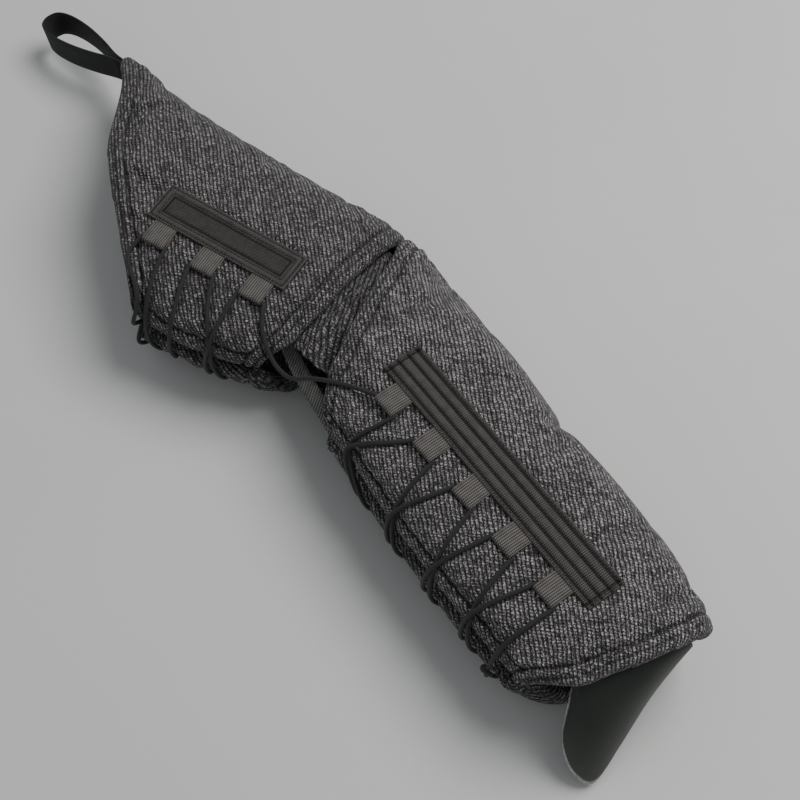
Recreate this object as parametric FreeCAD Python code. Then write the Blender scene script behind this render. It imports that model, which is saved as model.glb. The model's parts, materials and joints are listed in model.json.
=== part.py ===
"""Laced forearm and upper-arm guard, lying on its side. Millimetres, +Z up.

The model is drawn with the elbow seam at the origin: X runs from the elbow to the wrist, Y from the laced side to
the spine, and Z is mirrored about the middle of the guard. At the end everything is moved so that the origin is
under the middle of the guard, on the plane that it rests on.
"""
import FreeCAD
import Part
import math
import os
from FreeCAD import Placement, Rotation, Vector

# Driving dimensions
BEND = 20.5            # how far the upper arm is bent towards the laced side at rest, degrees
EDGE_SLOPE = 12.5      # how steeply the top falls away beside the band, degrees
SLOPE_RUN = 24.0       # how far that straight fall goes
SEAM_GAP = 0.8         # half the gap between the two sections at the spine seam
HEM = 3.5              # width of the edge binding
REACH = 60.0           # how far cutting shapes pass beyond the guard

FOREARM_HALF = 50.0    # half height of the forearm section
FOREARM_LENGTH = 388.0
FOREARM_BAND_X = (100.0, 331.0)
FOREARM_BAND_Y = (-98.0, -66.0)
FOREARM_LOOPS = [125.0 + 45.0 * i for i in range(5)]
FOREARM_EDGE = 29.0    # slant of the elbow edge from square, degrees
FOREARM_SLOT = 14.0    # half the lacing gap
# x, spine y and nose y of the oval, from the elbow end to the wrist end
FOREARM_SIDES = [(-20.0, 1.4, -146.0), (100.0, -4.2, -151.0), (200.0, -8.5, -160.0), (300.0, -13.5, -162.0),
                 (345.0, -18.5, -160.0), (400.0, -30.0, -157.0)]
FOREARM_LAYERS = {"cover": (0.0, 2.4), "padding": (2.4, 12.0), "shell": (12.0, 15.0), "lining": (15.0, 17.0)}

UPPER_HALF = 46.0
UPPER_BAND_X = (-168.0, -41.0)
UPPER_BAND_Y = (-110.0, -77.0)
UPPER_LOOPS = [-149.5 + 45.0 * i for i in range(3)]
UPPER_EDGE = 5.5
UPPER_SLOT = (14.0, 27.0)
UPPER_SIDES = [(30.0, -2.0, -150.0), (-20.0, 1.6, -158.0), (-70.0, 4.6, -171.0), (-130.0, 9.2, -177.0),
               (-226.0, 17.8, -177.0), (-320.0, 34.0, -177.0)]
UPPER_LAYERS = {"cover": (0.0, 2.2), "padding": (2.2, 9.5), "stiffener": (9.5, 11.5), "lining": (11.5, 13.5)}

WEB = 0.9              # thickness of the loop webbing
LOOP_WIDTH = 20.0
LOOP_EYE = 2.5         # inner radius of a lace loop's eye
LOOP_REACH = 15.5      # from the band's edge to the middle of the eye
LOOP_TAIL = 10.0       # length sewn under the band
BAND_THICK = 3.5
THREAD_WIDE = 0.8
THREAD_DEEP = 0.5
LACE = 1.9             # radius of the elastic lace

STRAP = 2.0            # thickness of the hang loop webbing
STRAP_WIDE = 22.0
HANG_ROOT = (-301.5, 25.0, -9.0)
HANG_LENGTH = 84.0     # from the root to the middle of the round end
HANG_ROUND = 14.0
HANG_TURN = 172.0      # direction of the loop in the upper-arm frame, degrees
HANG_DROOP = 10.0      # how far it hangs down towards the floor, degrees

GUARD_LAYERS = {"outer": (0.0, 1.5), "foam": (1.5, 4.5), "inner": (4.5, 6.0)}
# root x, y and z, reach past the hem, drop below the root, how far the slice fans out in degrees, and its bulge
GUARD_STATIONS = [(388.8, -52.0, 27.0, 8.0, 14.0, -10.0, 0.8),
                  (385.8, -76.0, 31.0, 12.0, 27.0, 0.0, 0.8),
                  (378.4, -102.0, 29.5, 22.0, 41.0, 5.0, 0.7),
                  (369.4, -120.0, 25.5, 37.0, 60.0, 14.0, 0.6),
                  (363.4, -128.0, 21.0, 49.0, 67.0, 21.0, 0.5),
                  (361.2, -130.5, 18.5, 46.0, 60.0, 31.0, 0.4),
                  (360.2, -131.7, 17.5, 34.0, 43.0, 43.0, 0.3),
                  (359.7, -132.4, 17.0, 22.0, 23.0, 50.0, 0.3)]

# Where the lace crosses the rim of the visible flap between loops: the leg towards the wrist, then the other
FOREARM_GAPS = [(125.0, 124.0), (188.0, 187.0), (238.0, 237.0), (280.0, 279.0)]
UPPER_GAPS = [(-128.0, -102.0), (-80.0, -73.0)]
LAST_LEG = 311.0       # where the end of the lace goes over the rim
GAP_SPREAD = 4.0       # half the distance between the two legs in the lacing gap

GRIP_AT = (330.0, -82.0)
GRIP_RADIUS = 10.0
GRIP_SLEEVE = 2.0
PLATE = (40.0, 30.0, 2.0)

slope = math.tan(math.radians(EDGE_SLOPE))
nodes = {}


def line(a, b):
    return Part.LineSegment(a, b).toShape()


def arc(a, b, c):
    return Part.Arc(a, b, c).toShape()


def end_curve(start, end, start_dir, end_dir):
    """Rounded side of the oval, from the end of the straight fall to the widest point."""
    middle = Vector(start.x, start.y + 0.74 * (end.y - start.y), end.z + 0.72 * (start.z - end.z))
    curve = Part.BSplineCurve()
    curve.interpolate(Points=[start, middle, end], InitialTangent=start_dir, FinalTangent=end_dir)
    return curve.toShape()


def section(x, spine, nose, band, half, depth):
    """Closed oval round the arm in the plane x, set in from the outside by depth."""
    top = half - depth
    low, high = band
    spine = spine - depth
    nose = nose + depth
    edges = []
    corners = []
    for edge, tip in ((high, spine), (low, nose)):
        run = min(SLOPE_RUN, 0.5 * abs(tip - edge))
        side = 1.0 if tip > edge else -1.0
        corners.append((edge, edge + side * run, top - run * slope, tip, side))
    (e1, s1, z1, t1, d1), (e2, s2, z2, t2, d2) = corners
    edges.append(line(Vector(x, e2, top), Vector(x, e1, top)))
    edges.append(line(Vector(x, e1, top), Vector(x, s1, z1)))
    edges.append(end_curve(Vector(x, s1, z1), Vector(x, t1, 0), Vector(0, d1, -slope), Vector(0, 0, -1)))
    edges.append(end_curve(Vector(x, s1, -z1), Vector(x, t1, 0), Vector(0, d1, slope), Vector(0, 0, 1)))
    edges.append(line(Vector(x, e1, -top), Vector(x, s1, -z1)))
    edges.append(line(Vector(x, e2, -top), Vector(x, e1, -top)))
    edges.append(line(Vector(x, e2, -top), Vector(x, s2, -z2)))
    edges.append(end_curve(Vector(x, s2, -z2), Vector(x, t2, 0), Vector(0, d2, slope), Vector(0, 0, 1)))
    edges.append(end_curve(Vector(x, s2, z2), Vector(x, t2, 0), Vector(0, d2, -slope), Vector(0, 0, -1)))
    edges.append(line(Vector(x, e2, top), Vector(x, s2, z2)))
    return Part.Wire(Part.__sortEdges__(edges))


def tube(sides, band, half, depth):
    wires = [section(x, spine, nose, band, half, depth) for x, spine, nose in sides]
    return Part.makeLoft(wires, True, True)


def forearm_tube(depth):
    return tube(FOREARM_SIDES, FOREARM_BAND_Y, FOREARM_HALF, depth)


def upper_tube(depth):
    return tube(UPPER_SIDES, UPPER_BAND_Y, UPPER_HALF, depth)


def prism(edges, inset):
    """Straight prism over a plan outline, shrunk by inset."""
    face = Part.Face(Part.Wire(edges))
    if inset:
        face = face.makeOffset2D(-inset)
    face = face.copy()
    face.translate(Vector(0, 0, -REACH - 20.0))
    return face.extrude(Vector(0, 0, 2 * REACH + 40.0))


def outline(points, arcs):
    """Closed plan outline. Each index in arcs is the middle point of an arc."""
    vectors = [Vector(x, y, 0) for x, y in points]
    edges = []
    count = len(vectors)
    i = 0
    while i < count:
        here = vectors[i]
        step = vectors[(i + 1) % count]
        if (i + 1) % count in arcs:
            after = vectors[(i + 2) % count]
            edges.append(arc(here, step, after))
            i += 2
        else:
            edges.append(line(here, step))
            i += 1
    return edges


def forearm_plan(inset):
    lean = math.tan(math.radians(FOREARM_EDGE))
    points = [(SEAM_GAP, 12), (SEAM_GAP, 0), (SEAM_GAP + lean * 116, -116), (80, -141), (104, -157), (150, -190),
              (290, -190), (322, -170), (354, -147), (373, -108), (383, -70), (FOREARM_LENGTH, -36),
              (FOREARM_LENGTH, 12)]
    return prism(outline(points, {3, 8, 10}), inset)


def upper_plan(inset):
    lean = math.tan(math.radians(UPPER_EDGE))
    points = [(-SEAM_GAP, 12), (-302, 60), (-302, 36), (-296, 20), (-284, 6), (-233, -77), (-182, -131),
              (-162, -151), (-128, -190), (-62, -190), (-48, -170), (-22, -152), (-SEAM_GAP - lean * 122, -122),
              (-SEAM_GAP, 0)]
    return prism(outline(points, {3, 11}), inset)


def forearm_slot(extra):
    half = FOREARM_SLOT + extra
    return Part.makeBox(440, 140, 2 * half, Vector(-30, -240, -half))


def upper_slot(extra):
    near = UPPER_SLOT[0] + extra
    far = UPPER_SLOT[1] + extra
    points = [Vector(20, -100, near), Vector(-150, -100, far), Vector(-320, -100, far), Vector(-320, -100, -far),
              Vector(-150, -100, -far), Vector(20, -100, -near), Vector(20, -100, near)]
    return Part.Face(Part.makePolygon(points)).extrude(Vector(0, -140, 0))


def layered(prefix, tube_at, plan, slot, layers):
    """Covers, padding and lining as rings, with an edge binding round everything between cover and lining."""
    depths = sorted({d for pair in layers.values() for d in pair})
    solids = {d: tube_at(d) for d in depths}
    whole = plan(0).cut(slot(0))
    core = plan(HEM).cut(slot(HEM))
    for name, (outer, inner) in layers.items():
        ring = solids[outer].cut(solids[inner])
        keep = whole if name in ("cover", "lining") else core
        nodes[prefix + "_" + name] = ring.common(keep)
    between = solids[layers["cover"][1]].cut(solids[layers["lining"][0]])
    nodes[prefix + "_edge_binding"] = between.common(whole).cut(core)


def tangent_point(point, centre, radius, side):
    """Where a line from point touches a circle in the YZ plane. side picks the upper or lower one."""
    way = point - centre
    base = math.atan2(way.z, way.y)
    turn = math.acos(radius / way.Length)
    angle = base + side * turn
    return centre + Vector(0, radius * math.cos(angle), radius * math.sin(angle))


def lace_loop(x, band_y, half):
    """Webbing folded round the lace, its two plies sewn together under the band."""
    left = x - LOOP_WIDTH / 2
    base = half + 0.02
    centre = Vector(left, band_y - LOOP_REACH, half - LOOP_REACH * slope + WEB + LOOP_EYE + 0.1)
    top = Vector(left, band_y, base + 2 * WEB)
    bottom = Vector(left, band_y, base)
    outer = LOOP_EYE + WEB
    upper = tangent_point(top, centre, outer, 1)
    lower = tangent_point(bottom, centre, outer, -1)
    far = centre + Vector(0, -outer, 0)
    tail_top = top + Vector(0, LOOP_TAIL, 0)
    tail_low = bottom + Vector(0, LOOP_TAIL, 0)
    edges = [line(top, upper), arc(upper, far, lower), line(lower, bottom), line(bottom, tail_low),
             line(tail_low, tail_top), line(tail_top, top)]
    body = Part.Face(Part.Wire(edges)).extrude(Vector(LOOP_WIDTH, 0, 0))
    start = (top + bottom) * 0.5 + (centre - (top + bottom) * 0.5) * 0.4
    inner_up = tangent_point(start, centre, LOOP_EYE, 1)
    inner_low = tangent_point(start, centre, LOOP_EYE, -1)
    inner_far = centre + Vector(0, -LOOP_EYE, 0)
    hole = [line(start, inner_up), arc(inner_up, inner_far, inner_low), line(inner_low, start)]
    return body.cut(Part.Face(Part.Wire(hole)).extrude(Vector(LOOP_WIDTH, 0, 0)))


def eye_centre(band_y, half):
    return band_y - LOOP_REACH, half - LOOP_REACH * slope + WEB + LOOP_EYE + 0.1


def stitch_rows(xs, ys, half, rows, frame):
    """Flush thread rows along the band, with cross rows at the ends of each frame."""
    top = half + BAND_THICK
    solids = []
    for inset in frame:
        for y in (ys[0] + inset, ys[1] - inset):
            solids.append(Part.makeBox(xs[1] - xs[0] - 2 * inset - 4, THREAD_WIDE, THREAD_DEEP,
                                       Vector(xs[0] + inset + 2, y - THREAD_WIDE / 2, top - THREAD_DEEP)))
        for x in (xs[0] + inset, xs[1] - inset):
            solids.append(Part.makeBox(THREAD_WIDE, ys[1] - ys[0] - 2 * inset, THREAD_DEEP,
                                       Vector(x - THREAD_WIDE / 2, ys[0] + inset, top - THREAD_DEEP)))
    for share in rows:
        y = ys[0] + share * (ys[1] - ys[0])
        solids.append(Part.makeBox(xs[1] - xs[0] - 24, THREAD_WIDE, THREAD_DEEP,
                                   Vector(xs[0] + 12, y - THREAD_WIDE / 2, top - THREAD_DEEP)))
    return solids


def mirrored(shape):
    return shape.mirror(Vector(0, 0, 0), Vector(0, 0, 1))


def banded(prefix, xs, ys, half, places, rows, frame):
    """Band, thread rows and lace loops, on the top and mirrored on the bottom."""
    loops = [lace_loop(x, ys[0], half) for x in places]
    band = Part.makeBox(xs[1] - xs[0], ys[1] - ys[0], BAND_THICK - 0.02, Vector(xs[0], ys[0], half + 0.02))
    rows = stitch_rows(xs, ys, half, rows, frame)
    band = band.cut(Part.makeCompound(loops)).cut(Part.makeCompound(rows))
    for side, flip in (("top", False), ("bottom", True)):
        turn = mirrored if flip else (lambda shape: shape)
        nodes[prefix + "_band_" + side] = turn(band)
        nodes[prefix + "_band_stitching_" + side] = turn(Part.makeCompound(rows))
        for number, loop in enumerate(loops, 1):
            nodes["%s_lace_loop_%s_%d" % (prefix, side, number)] = turn(loop)


def cord(route, radius, name):
    """Round cord along straight runs joined by tangent arcs."""
    points = [Vector(*p) for p in route]
    runs = [(b - a).Length for a, b in zip(points, points[1:])]
    edges = []
    here = points[0]
    length = 0.0
    radii = []
    for i in range(1, len(points) - 1):
        back = (points[i - 1] - points[i]).normalize()
        ahead = (points[i + 1] - points[i]).normalize()
        turn = math.pi - back.getAngle(ahead)
        cut = 0.45 * min(runs[i - 1], runs[i])
        bend = cut / math.tan(turn / 2)
        radii.append(bend)
        enter = points[i] + back * cut
        leave = points[i] + ahead * cut
        toward = (back + ahead).normalize()
        middle = points[i] + toward * (bend / math.cos(turn / 2) - bend)
        edges.append(line(here, enter))
        edges.append(arc(enter, middle, leave))
        length += (enter - here).Length + bend * turn
        here = leave
    edges.append(line(here, points[-1]))
    length += (points[-1] - here).Length
    path = Part.Wire(edges)
    direction = (points[1] - points[0]).normalize()
    profile = Part.Wire([Part.Circle(points[0], direction, radius).toShape()])
    solid = path.makePipeShell([profile], True, True)
    share = solid.Volume / (math.pi * radius * radius * length)
    print("%s: length %.1f, smallest radius %.1f, volume ratio %.4f" % (name, length, min(radii), share))
    return solid


def side_at(sides, x):
    """Spine y and nose y of the oval at x."""
    for (x0, s0, n0), (x1, s1, n1) in zip(sides, sides[1:]):
        if min(x0, x1) <= x <= max(x0, x1):
            share = (x - x0) / (x1 - x0)
            return s0 + (s1 - s0) * share, n0 + (n1 - n0) * share
    raise ValueError("x is off the guard")


def on_flap(arm, x, share, lift, side):
    """Point at a share of the way round the rim of a flap, lifted off its surface."""
    spine, nose = side_at(arm["sides"], x)
    ring = section(x, spine, nose, arm["band"], arm["half"], 0)
    edge = next(e for e in ring.Edges if e.BoundBox.YMin < nose + 0.01 and e.BoundBox.ZMax > 5)
    first, last = edge.FirstParameter, edge.LastParameter
    if edge.valueAt(first).z < edge.valueAt(last).z:
        first, last = last, first
    at = first + (last - first) * share
    tangent = edge.tangentAt(at)
    out = Vector(0, -abs(tangent.z), abs(tangent.y)).normalize()
    point = edge.valueAt(at) + out * lift
    return (x, point.y, side * point.z)


def eye_corner(arm, x, side):
    eye_y, eye_z = eye_centre(arm["band"][0], arm["half"])
    return (x, eye_y, side * eye_z)


FOREARM = {"sides": FOREARM_SIDES, "band": FOREARM_BAND_Y, "half": FOREARM_HALF, "loops": FOREARM_LOOPS,
           "gaps": FOREARM_GAPS}
UPPER = {"sides": UPPER_SIDES, "band": UPPER_BAND_Y, "half": UPPER_HALF, "loops": UPPER_LOOPS,
         "gaps": UPPER_GAPS}
EYE_OUT = 16.0         # from a loop's middle to the corner of the lace beside it


def laced(arm, first_side):
    """Route of one half of the lace, which changes flap after every loop."""
    route = []
    side = first_side
    loops = arm["loops"]
    for number, x in enumerate(loops):
        route.append(eye_corner(arm, x - EYE_OUT, side))
        route.append(eye_corner(arm, x + EYE_OUT, side))
        if number == len(loops) - 1:
            break
        start = x + EYE_OUT
        end = loops[number + 1] - EYE_OUT
        middle = (start + end) / 2
        toward, back = arm["gaps"][number]
        if side > 0:
            rims = (toward, middle + GAP_SPREAD + 2, middle + GAP_SPREAD)
            lifts = (4.0, 4.0)
        else:
            rims = (middle - GAP_SPREAD - 2, back, middle - GAP_SPREAD)
            lifts = (4.0, 8.4)
        route.append(on_flap(arm, (2 * start + rims[0]) / 3, 0.2, 4.0, side))
        route.append(on_flap(arm, rims[0], 0.62, lifts[0], side))
        route.append((rims[2], side_at(arm["sides"], rims[2])[1] - 4.0, 0))
        route.append(on_flap(arm, rims[1], 0.62, lifts[1], -side))
        route.append(on_flap(arm, (2 * end + rims[1]) / 3, 0.2, 4.0, -side))
        side = -side
    return route, side


def forearm_lace():
    solids = []
    knot_y = side_at(FOREARM_SIDES, LAST_LEG)[1] - 4.0
    for first in (1, -1):
        route, last = laced(FOREARM, first)
        route.append(on_flap(FOREARM, LAST_LEG + 5, 0.2, 4.0, last))
        route.append(on_flap(FOREARM, LAST_LEG, 0.62, 4.0, last))
        route.append((LAST_LEG, knot_y + 0.5, last * 7.0))
        solids.append(cord(route, LACE, "forearm lace %+d" % first))
    nodes["forearm_lace"] = Part.makeCompound(solids)
    knot = Part.makeSphere(6.4, Vector(LAST_LEG, knot_y, 0))
    nodes["lace_end_knot"] = knot.cut(nodes["forearm_lace"])


def upper_lace():
    """Both halves, which meet behind the shoulder edge."""
    solids = []
    x = UPPER_LOOPS[0] - EYE_OUT
    for first in (1, -1):
        route, _ = laced(UPPER, first)
        around = [(x - 3, -159, first * 0.02), (x - 4, -157, first * 20), (x - 4.5, -142, first * 42.5)]
        solids.append(cord(around + route, LACE, "upper lace %+d" % first))
    nodes["upper_lace"] = Part.makeCompound(solids)


def elbow_crossing():
    """Lace from the last upper loop to the first forearm loop, slack on the top and straight underneath."""
    upper = eye_corner(UPPER, UPPER_LOOPS[-1] + EYE_OUT + 2.6, 1)
    turn = Rotation(Vector(0, 0, 1), BEND)
    start = turn.multVec(Vector(*upper))
    end = eye_corner(FOREARM, FOREARM_LOOPS[0] - EYE_OUT - 1.6, 1)
    top = [(14, -149, 44), (38, -158, 29), (52, -155, 23), (65, -147, 30), (77, -138, 43), (91, -126.5, 48)]
    under = [(20, -129, 46.2), (46, -122.5, 43), (76, -118.5, 49.4)]
    solids = []
    for side, dip in ((1, top), (-1, under)):
        route = [(start.x, start.y, start.z)] + dip + [end]
        solids.append(cord([(x, y, side * z) for x, y, z in route], LACE, "elbow lace %+d" % side))
    nodes["elbow_lace_span"] = Part.makeCompound(solids)


def elbow_gusset():
    """Folded cloth inside the notch between the two sections."""
    depth = FOREARM_LAYERS["lining"][1] + 0.3
    ring = forearm_tube(depth).cut(forearm_tube(depth + 1.5))
    near = math.tan(math.radians(BEND - UPPER_EDGE))
    far = math.tan(math.radians(FOREARM_EDGE))
    points = [(2.2, 4), (2.2 + near * 140, -140), (12 + far * 140, -140), (12, 4)]
    region = prism(outline(points, set()), 0)
    slot = Part.makeBox(200, 80, 36, Vector(-30, -200, -18))
    nodes["elbow_gusset"] = ring.common(region).cut(slot)
    route = [Vector(42, -120, -9), Vector(74, -133, -9), Vector(118, -139, -9)]
    sheet = Part.makePolygon(route + [p + Vector(0, 1.6, 0) for p in reversed(route)] + [route[0]])
    nodes["elbow_inner_strap"] = Part.Face(sheet).extrude(Vector(0, 0, 18))


def guard_profile(station, outer, inner):
    """Upright slice through the layers between two depths, curving from the hem down over the hand."""
    x0, y0, z0, reach, drop, fan, bulge = station
    ahead = Vector(math.cos(math.radians(fan)), -math.sin(math.radians(fan)), 0)
    chord = math.hypot(reach, drop)
    inward = ahead * (-drop / chord) + Vector(0, 0, -reach / chord)
    rims = []
    for depth in (outer, inner):
        points = []
        for step in range(7):
            share = step / 6
            angle = share * math.pi / 2
            along = (1 - bulge) * share + bulge * math.sin(angle)
            down = (1 - bulge) * share + bulge * (1 - math.cos(angle))
            points.append(Vector(x0, y0, z0 - drop * down) + ahead * (reach * along) + inward * depth)
        rims.append(points)
    edges = []
    for points in rims:
        curve = Part.BSplineCurve()
        curve.interpolate(points)
        edges.append(curve.toShape())
    edges.append(line(rims[0][-1], rims[1][-1]))
    edges.append(line(rims[1][0], rims[0][0]))
    return Part.Wire([edges[0], edges[2], edges[1], edges[3]])


def hand_guard():
    for name, (outer, inner) in GUARD_LAYERS.items():
        wires = [guard_profile(s, outer, inner) for s in GUARD_STATIONS]
        nodes["hand_guard_" + name] = Part.makeLoft(wires, True, True)


def hang_loop():
    """Webbing strap doubled back on itself, standing on edge."""
    outer = strap_outline(HANG_ROUND + STRAP / 2, STRAP + 0.4)
    inner = strap_outline(HANG_ROUND - STRAP / 2, 0.4)
    strap = outer.cut(inner)
    tack = Part.makeBox(6, 8.4, 16, Vector(5, -4.2, -8)).cut(outer)
    droop = Rotation(Vector(0, 1, 0), HANG_DROOP)
    turn = Rotation(Vector(0, 0, 1), HANG_TURN)
    for shape, name in ((strap, "hang_loop_strap"), (tack, "hang_loop_tack")):
        shape.Placement = Placement(Vector(*HANG_ROOT), turn.multiply(droop))
        nodes[name] = shape


def strap_outline(radius, root):
    start = Vector(3.0 if root > 1 else 20.0, 0, -STRAP_WIDE / 2)
    centre = Vector(HANG_LENGTH, 0, -STRAP_WIDE / 2)
    up = Vector(start.x, root, start.z)
    low = Vector(start.x, -root, start.z)
    turn = math.acos((radius - root) / (centre.x - start.x))
    lift = Vector(radius * math.cos(turn), radius * math.sin(turn), 0)
    fall = Vector(radius * math.cos(turn), -radius * math.sin(turn), 0)
    far = centre + Vector(radius, 0, 0)
    edges = [line(up, centre + Vector(-lift.x, lift.y, 0)),
             arc(centre + Vector(-lift.x, lift.y, 0), far, centre + Vector(-fall.x, fall.y, 0)),
             line(centre + Vector(-fall.x, fall.y, 0), low), line(low, up)]
    return Part.Face(Part.Wire(edges)).extrude(Vector(0, 0, STRAP_WIDE))


def grip():
    """Bar that the hand holds, across the inside near the wrist."""
    inside = FOREARM_HALF - FOREARM_LAYERS["lining"][1] - 0.02
    x, y = GRIP_AT
    wide, deep, thick = PLATE
    plates = []
    rivets = []
    for side in (1, -1):
        low = inside - thick if side > 0 else -inside
        plate = Part.makeBox(wide, deep, thick, Vector(x - wide / 2, y - deep / 2, low))
        for dx in (-15, 15):
            for dy in (-10, 10):
                at = Vector(x + dx, y + dy, side * (inside - thick))
                rivets.append(Part.makeCylinder(3.2, 1.2, at, Vector(0, 0, -side)))
        plates.append(plate)
    nodes["grip_plates"] = Part.makeCompound(plates)
    nodes["grip_rivets"] = Part.makeCompound(rivets)
    length = 2 * (inside - thick)
    bar = Part.makeCylinder(GRIP_RADIUS, length, Vector(x, y, -length / 2))
    nodes["grip_bar"] = bar
    sleeve = Part.makeCylinder(GRIP_RADIUS + GRIP_SLEEVE, length - 4, Vector(x, y, -length / 2 + 2))
    nodes["grip_sleeve"] = sleeve.cut(bar)


UPPER_NODES = ("upper_", "hang_")


def build():
    layered("forearm", forearm_tube, forearm_plan, forearm_slot, FOREARM_LAYERS)
    layered("upper", upper_tube, upper_plan, upper_slot, UPPER_LAYERS)
    banded("forearm", FOREARM_BAND_X, FOREARM_BAND_Y, FOREARM_HALF, FOREARM_LOOPS, (0.37, 0.63), (2.2, 4.6))
    banded("upper", UPPER_BAND_X, UPPER_BAND_Y, UPPER_HALF, UPPER_LOOPS, (), (2.2, 4.6, 9.5))
    forearm_lace()
    upper_lace()
    hang_loop()
    turn = Placement(Vector(0, 0, 0), Rotation(Vector(0, 0, 1), BEND))
    for name in list(nodes):
        if name.startswith(UPPER_NODES):
            nodes[name].Placement = turn.multiply(nodes[name].Placement)
    elbow_crossing()
    elbow_gusset()
    hand_guard()
    grip()


def finish():
    """Move everything so that the origin is under the middle of the guard, and write one file per node."""
    box = FreeCAD.BoundBox()
    for name, shape in nodes.items():
        box.add(shape.optimalBoundingBox(True, False))
    shift = Vector(-(box.XMin + box.XMax) / 2, -(box.YMin + box.YMax) / 2, -box.ZMin)
    print("shift %.4f %.4f %.4f" % (shift.x, shift.y, shift.z))
    print("size %.1f x %.1f x %.1f" % (box.XLength, box.YLength, box.ZLength))
    os.makedirs("parts", exist_ok=True)
    for name, shape in nodes.items():
        solids = shape.Solids
        final = solids[0].copy() if len(solids) == 1 else Part.makeCompound([s.copy() for s in solids])
        final.translate(shift)
        print("%-32s solids %2d volume %9.0f valid %s" % (name, len(solids), final.Volume, final.isValid()))
        final.exportStep("parts/" + name + ".step")


build()
finish()
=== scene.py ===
"""Laced forearm and upper-arm guard of thick woven cloth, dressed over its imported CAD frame.

Shapes are worked out in millimetres in the drawing frame of each section: x from the elbow to the wrist, y
from the laced side to the spine, z up, with the elbow seam at the origin. The upper arm's is turned by BEND.
"""
import bpy
import json
import math
import numpy as np
import random
from mathutils import Matrix, Vector
from mathutils.kdtree import KDTree


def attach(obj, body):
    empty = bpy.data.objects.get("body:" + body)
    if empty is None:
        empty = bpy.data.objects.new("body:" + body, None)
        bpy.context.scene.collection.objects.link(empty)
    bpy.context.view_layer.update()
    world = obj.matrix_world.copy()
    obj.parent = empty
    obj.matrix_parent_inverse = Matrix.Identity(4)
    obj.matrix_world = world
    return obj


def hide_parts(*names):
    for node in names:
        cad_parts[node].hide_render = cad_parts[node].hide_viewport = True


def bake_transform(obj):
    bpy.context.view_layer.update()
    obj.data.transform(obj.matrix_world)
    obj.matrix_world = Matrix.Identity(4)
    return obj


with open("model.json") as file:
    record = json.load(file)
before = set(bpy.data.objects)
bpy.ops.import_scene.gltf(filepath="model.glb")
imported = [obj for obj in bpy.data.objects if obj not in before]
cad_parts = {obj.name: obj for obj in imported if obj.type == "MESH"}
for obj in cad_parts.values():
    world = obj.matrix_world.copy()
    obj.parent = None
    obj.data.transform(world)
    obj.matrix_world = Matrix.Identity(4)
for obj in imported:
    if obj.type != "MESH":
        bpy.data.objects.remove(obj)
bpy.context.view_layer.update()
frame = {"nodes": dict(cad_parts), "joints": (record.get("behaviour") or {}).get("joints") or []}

MM = 0.001
BEND = math.radians(20.5)
ELBOW = next(Vector(j["pos_m"]) for j in frame["joints"] if j["name"] == "elbow")
SLOPE = math.tan(math.radians(12.5))
SLOPE_RUN = 24.0
ROUND = 2.2            # exponent of the rounded sides of the oval
REST_HEIGHT = 53.5     # from the middle of the guard down to the floor
FLOOR_GAP = 0.25       # clear space left above the floor
LACE = 1.7             # radius of the elastic lace
EDGE_ROUND = 6.0       # how far in from the edge the padding starts to roll over
RIM_SEAM = 16.0        # from the rim of a flap to its sewn hem line
END_SEAM = 13.0        # from the open ends to their sewn hem lines
END_FOLD = 5.5         # from the open ends to the crease of the hem fold

FOREARM = {
    "name": "forearm", "turn": 0.0, "around": 400.0, "half": 50.0, "band": (-98.0, -66.0), "thick": 17.0,
    "spine": [(-20, 1.4), (100, -4.2), (200, -8.5), (300, -13.5), (345, -18.5), (400, -30)],
    "nose": [(-20, -146), (100, -151), (200, -160), (300, -162), (345, -160), (400, -157)],
    "slot": [(-20, 14), (400, 14)],
    "low_end": [(12, 0.8), (0, 1.0), (-8, 6.0), (-25, 16.4), (-58, 34), (-116, 65.1), (-141, 80), (-157, 104),
                (-190, 150)],
    "high_end": [(12, 388), (-36, 388), (-70, 383), (-108, 373), (-147, 354), (-170, 322), (-190, 290)],
    "span": (0.0, 388.0), "loops": [125.0 + 45.0 * i for i in range(5)], "band_x": (100.0, 331.0),
    "gaps": [(125, 124), (188, 187), (238, 237), (280, 279)],
    "crossings": [(151.5, 143.5), (196.5, 188.5), (241.5, 233.5), (286.5, 278.5)],
    "twill": 28.0, "crumple": 0.25,
    "quilts": [(28.0, 46.0, 12.0, 0.5), (-52.0, 46.0, 30.0, 0.5)], "set_back": 12.0,
}
UPPER = {
    "name": "upper", "turn": BEND, "around": 430.0, "half": 46.0, "band": (-110.0, -77.0), "thick": 13.5,
    "spine": [(30, -2), (-20, 1.6), (-70, 4.6), (-130, 9.2), (-226, 17.8), (-320, 34)],
    "nose": [(30, -150), (-20, -158), (-70, -171), (-130, -177), (-226, -177), (-320, -177)],
    "slot": [(30, 13), (20, 13), (-20, 10), (-60, 8), (-115, 9), (-150, 18), (-190, 27), (-320, 27)],
    "low_end": [(60, -302), (36, -302), (20, -296), (6, -284), (-77, -233), (-131, -182), (-151, -162),
                (-190, -128)],
    "high_end": [(12, -0.8), (0, -0.8), (-60, -6.6), (-122, -12.5), (-152, -22), (-170, -44), (-190, -62)],
    "span": (-302.0, -0.8), "loops": [-149.5 + 45.0 * i for i in range(3)], "band_x": (-168.0, -41.0),
    "gaps": [(-127, -102), (-71, -69)], "crossings": [(-124.0, -104.0), (-67.0, -74.0)],
    "twill": 46.0, "crumple": 0.7,
    "quilts": [(46.0, 19.0, 4.0, 0.75)], "set_back": 0.0,
}


def spun(points, angle):
    """Points or vectors turned about the upright axis."""
    points = np.asarray(points, float)
    c, s = math.cos(angle), math.sin(angle)
    x = points[..., 0] * c - points[..., 1] * s
    y = points[..., 0] * s + points[..., 1] * c
    return np.concatenate([np.stack([x, y], -1), points[..., 2:]], -1)


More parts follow.
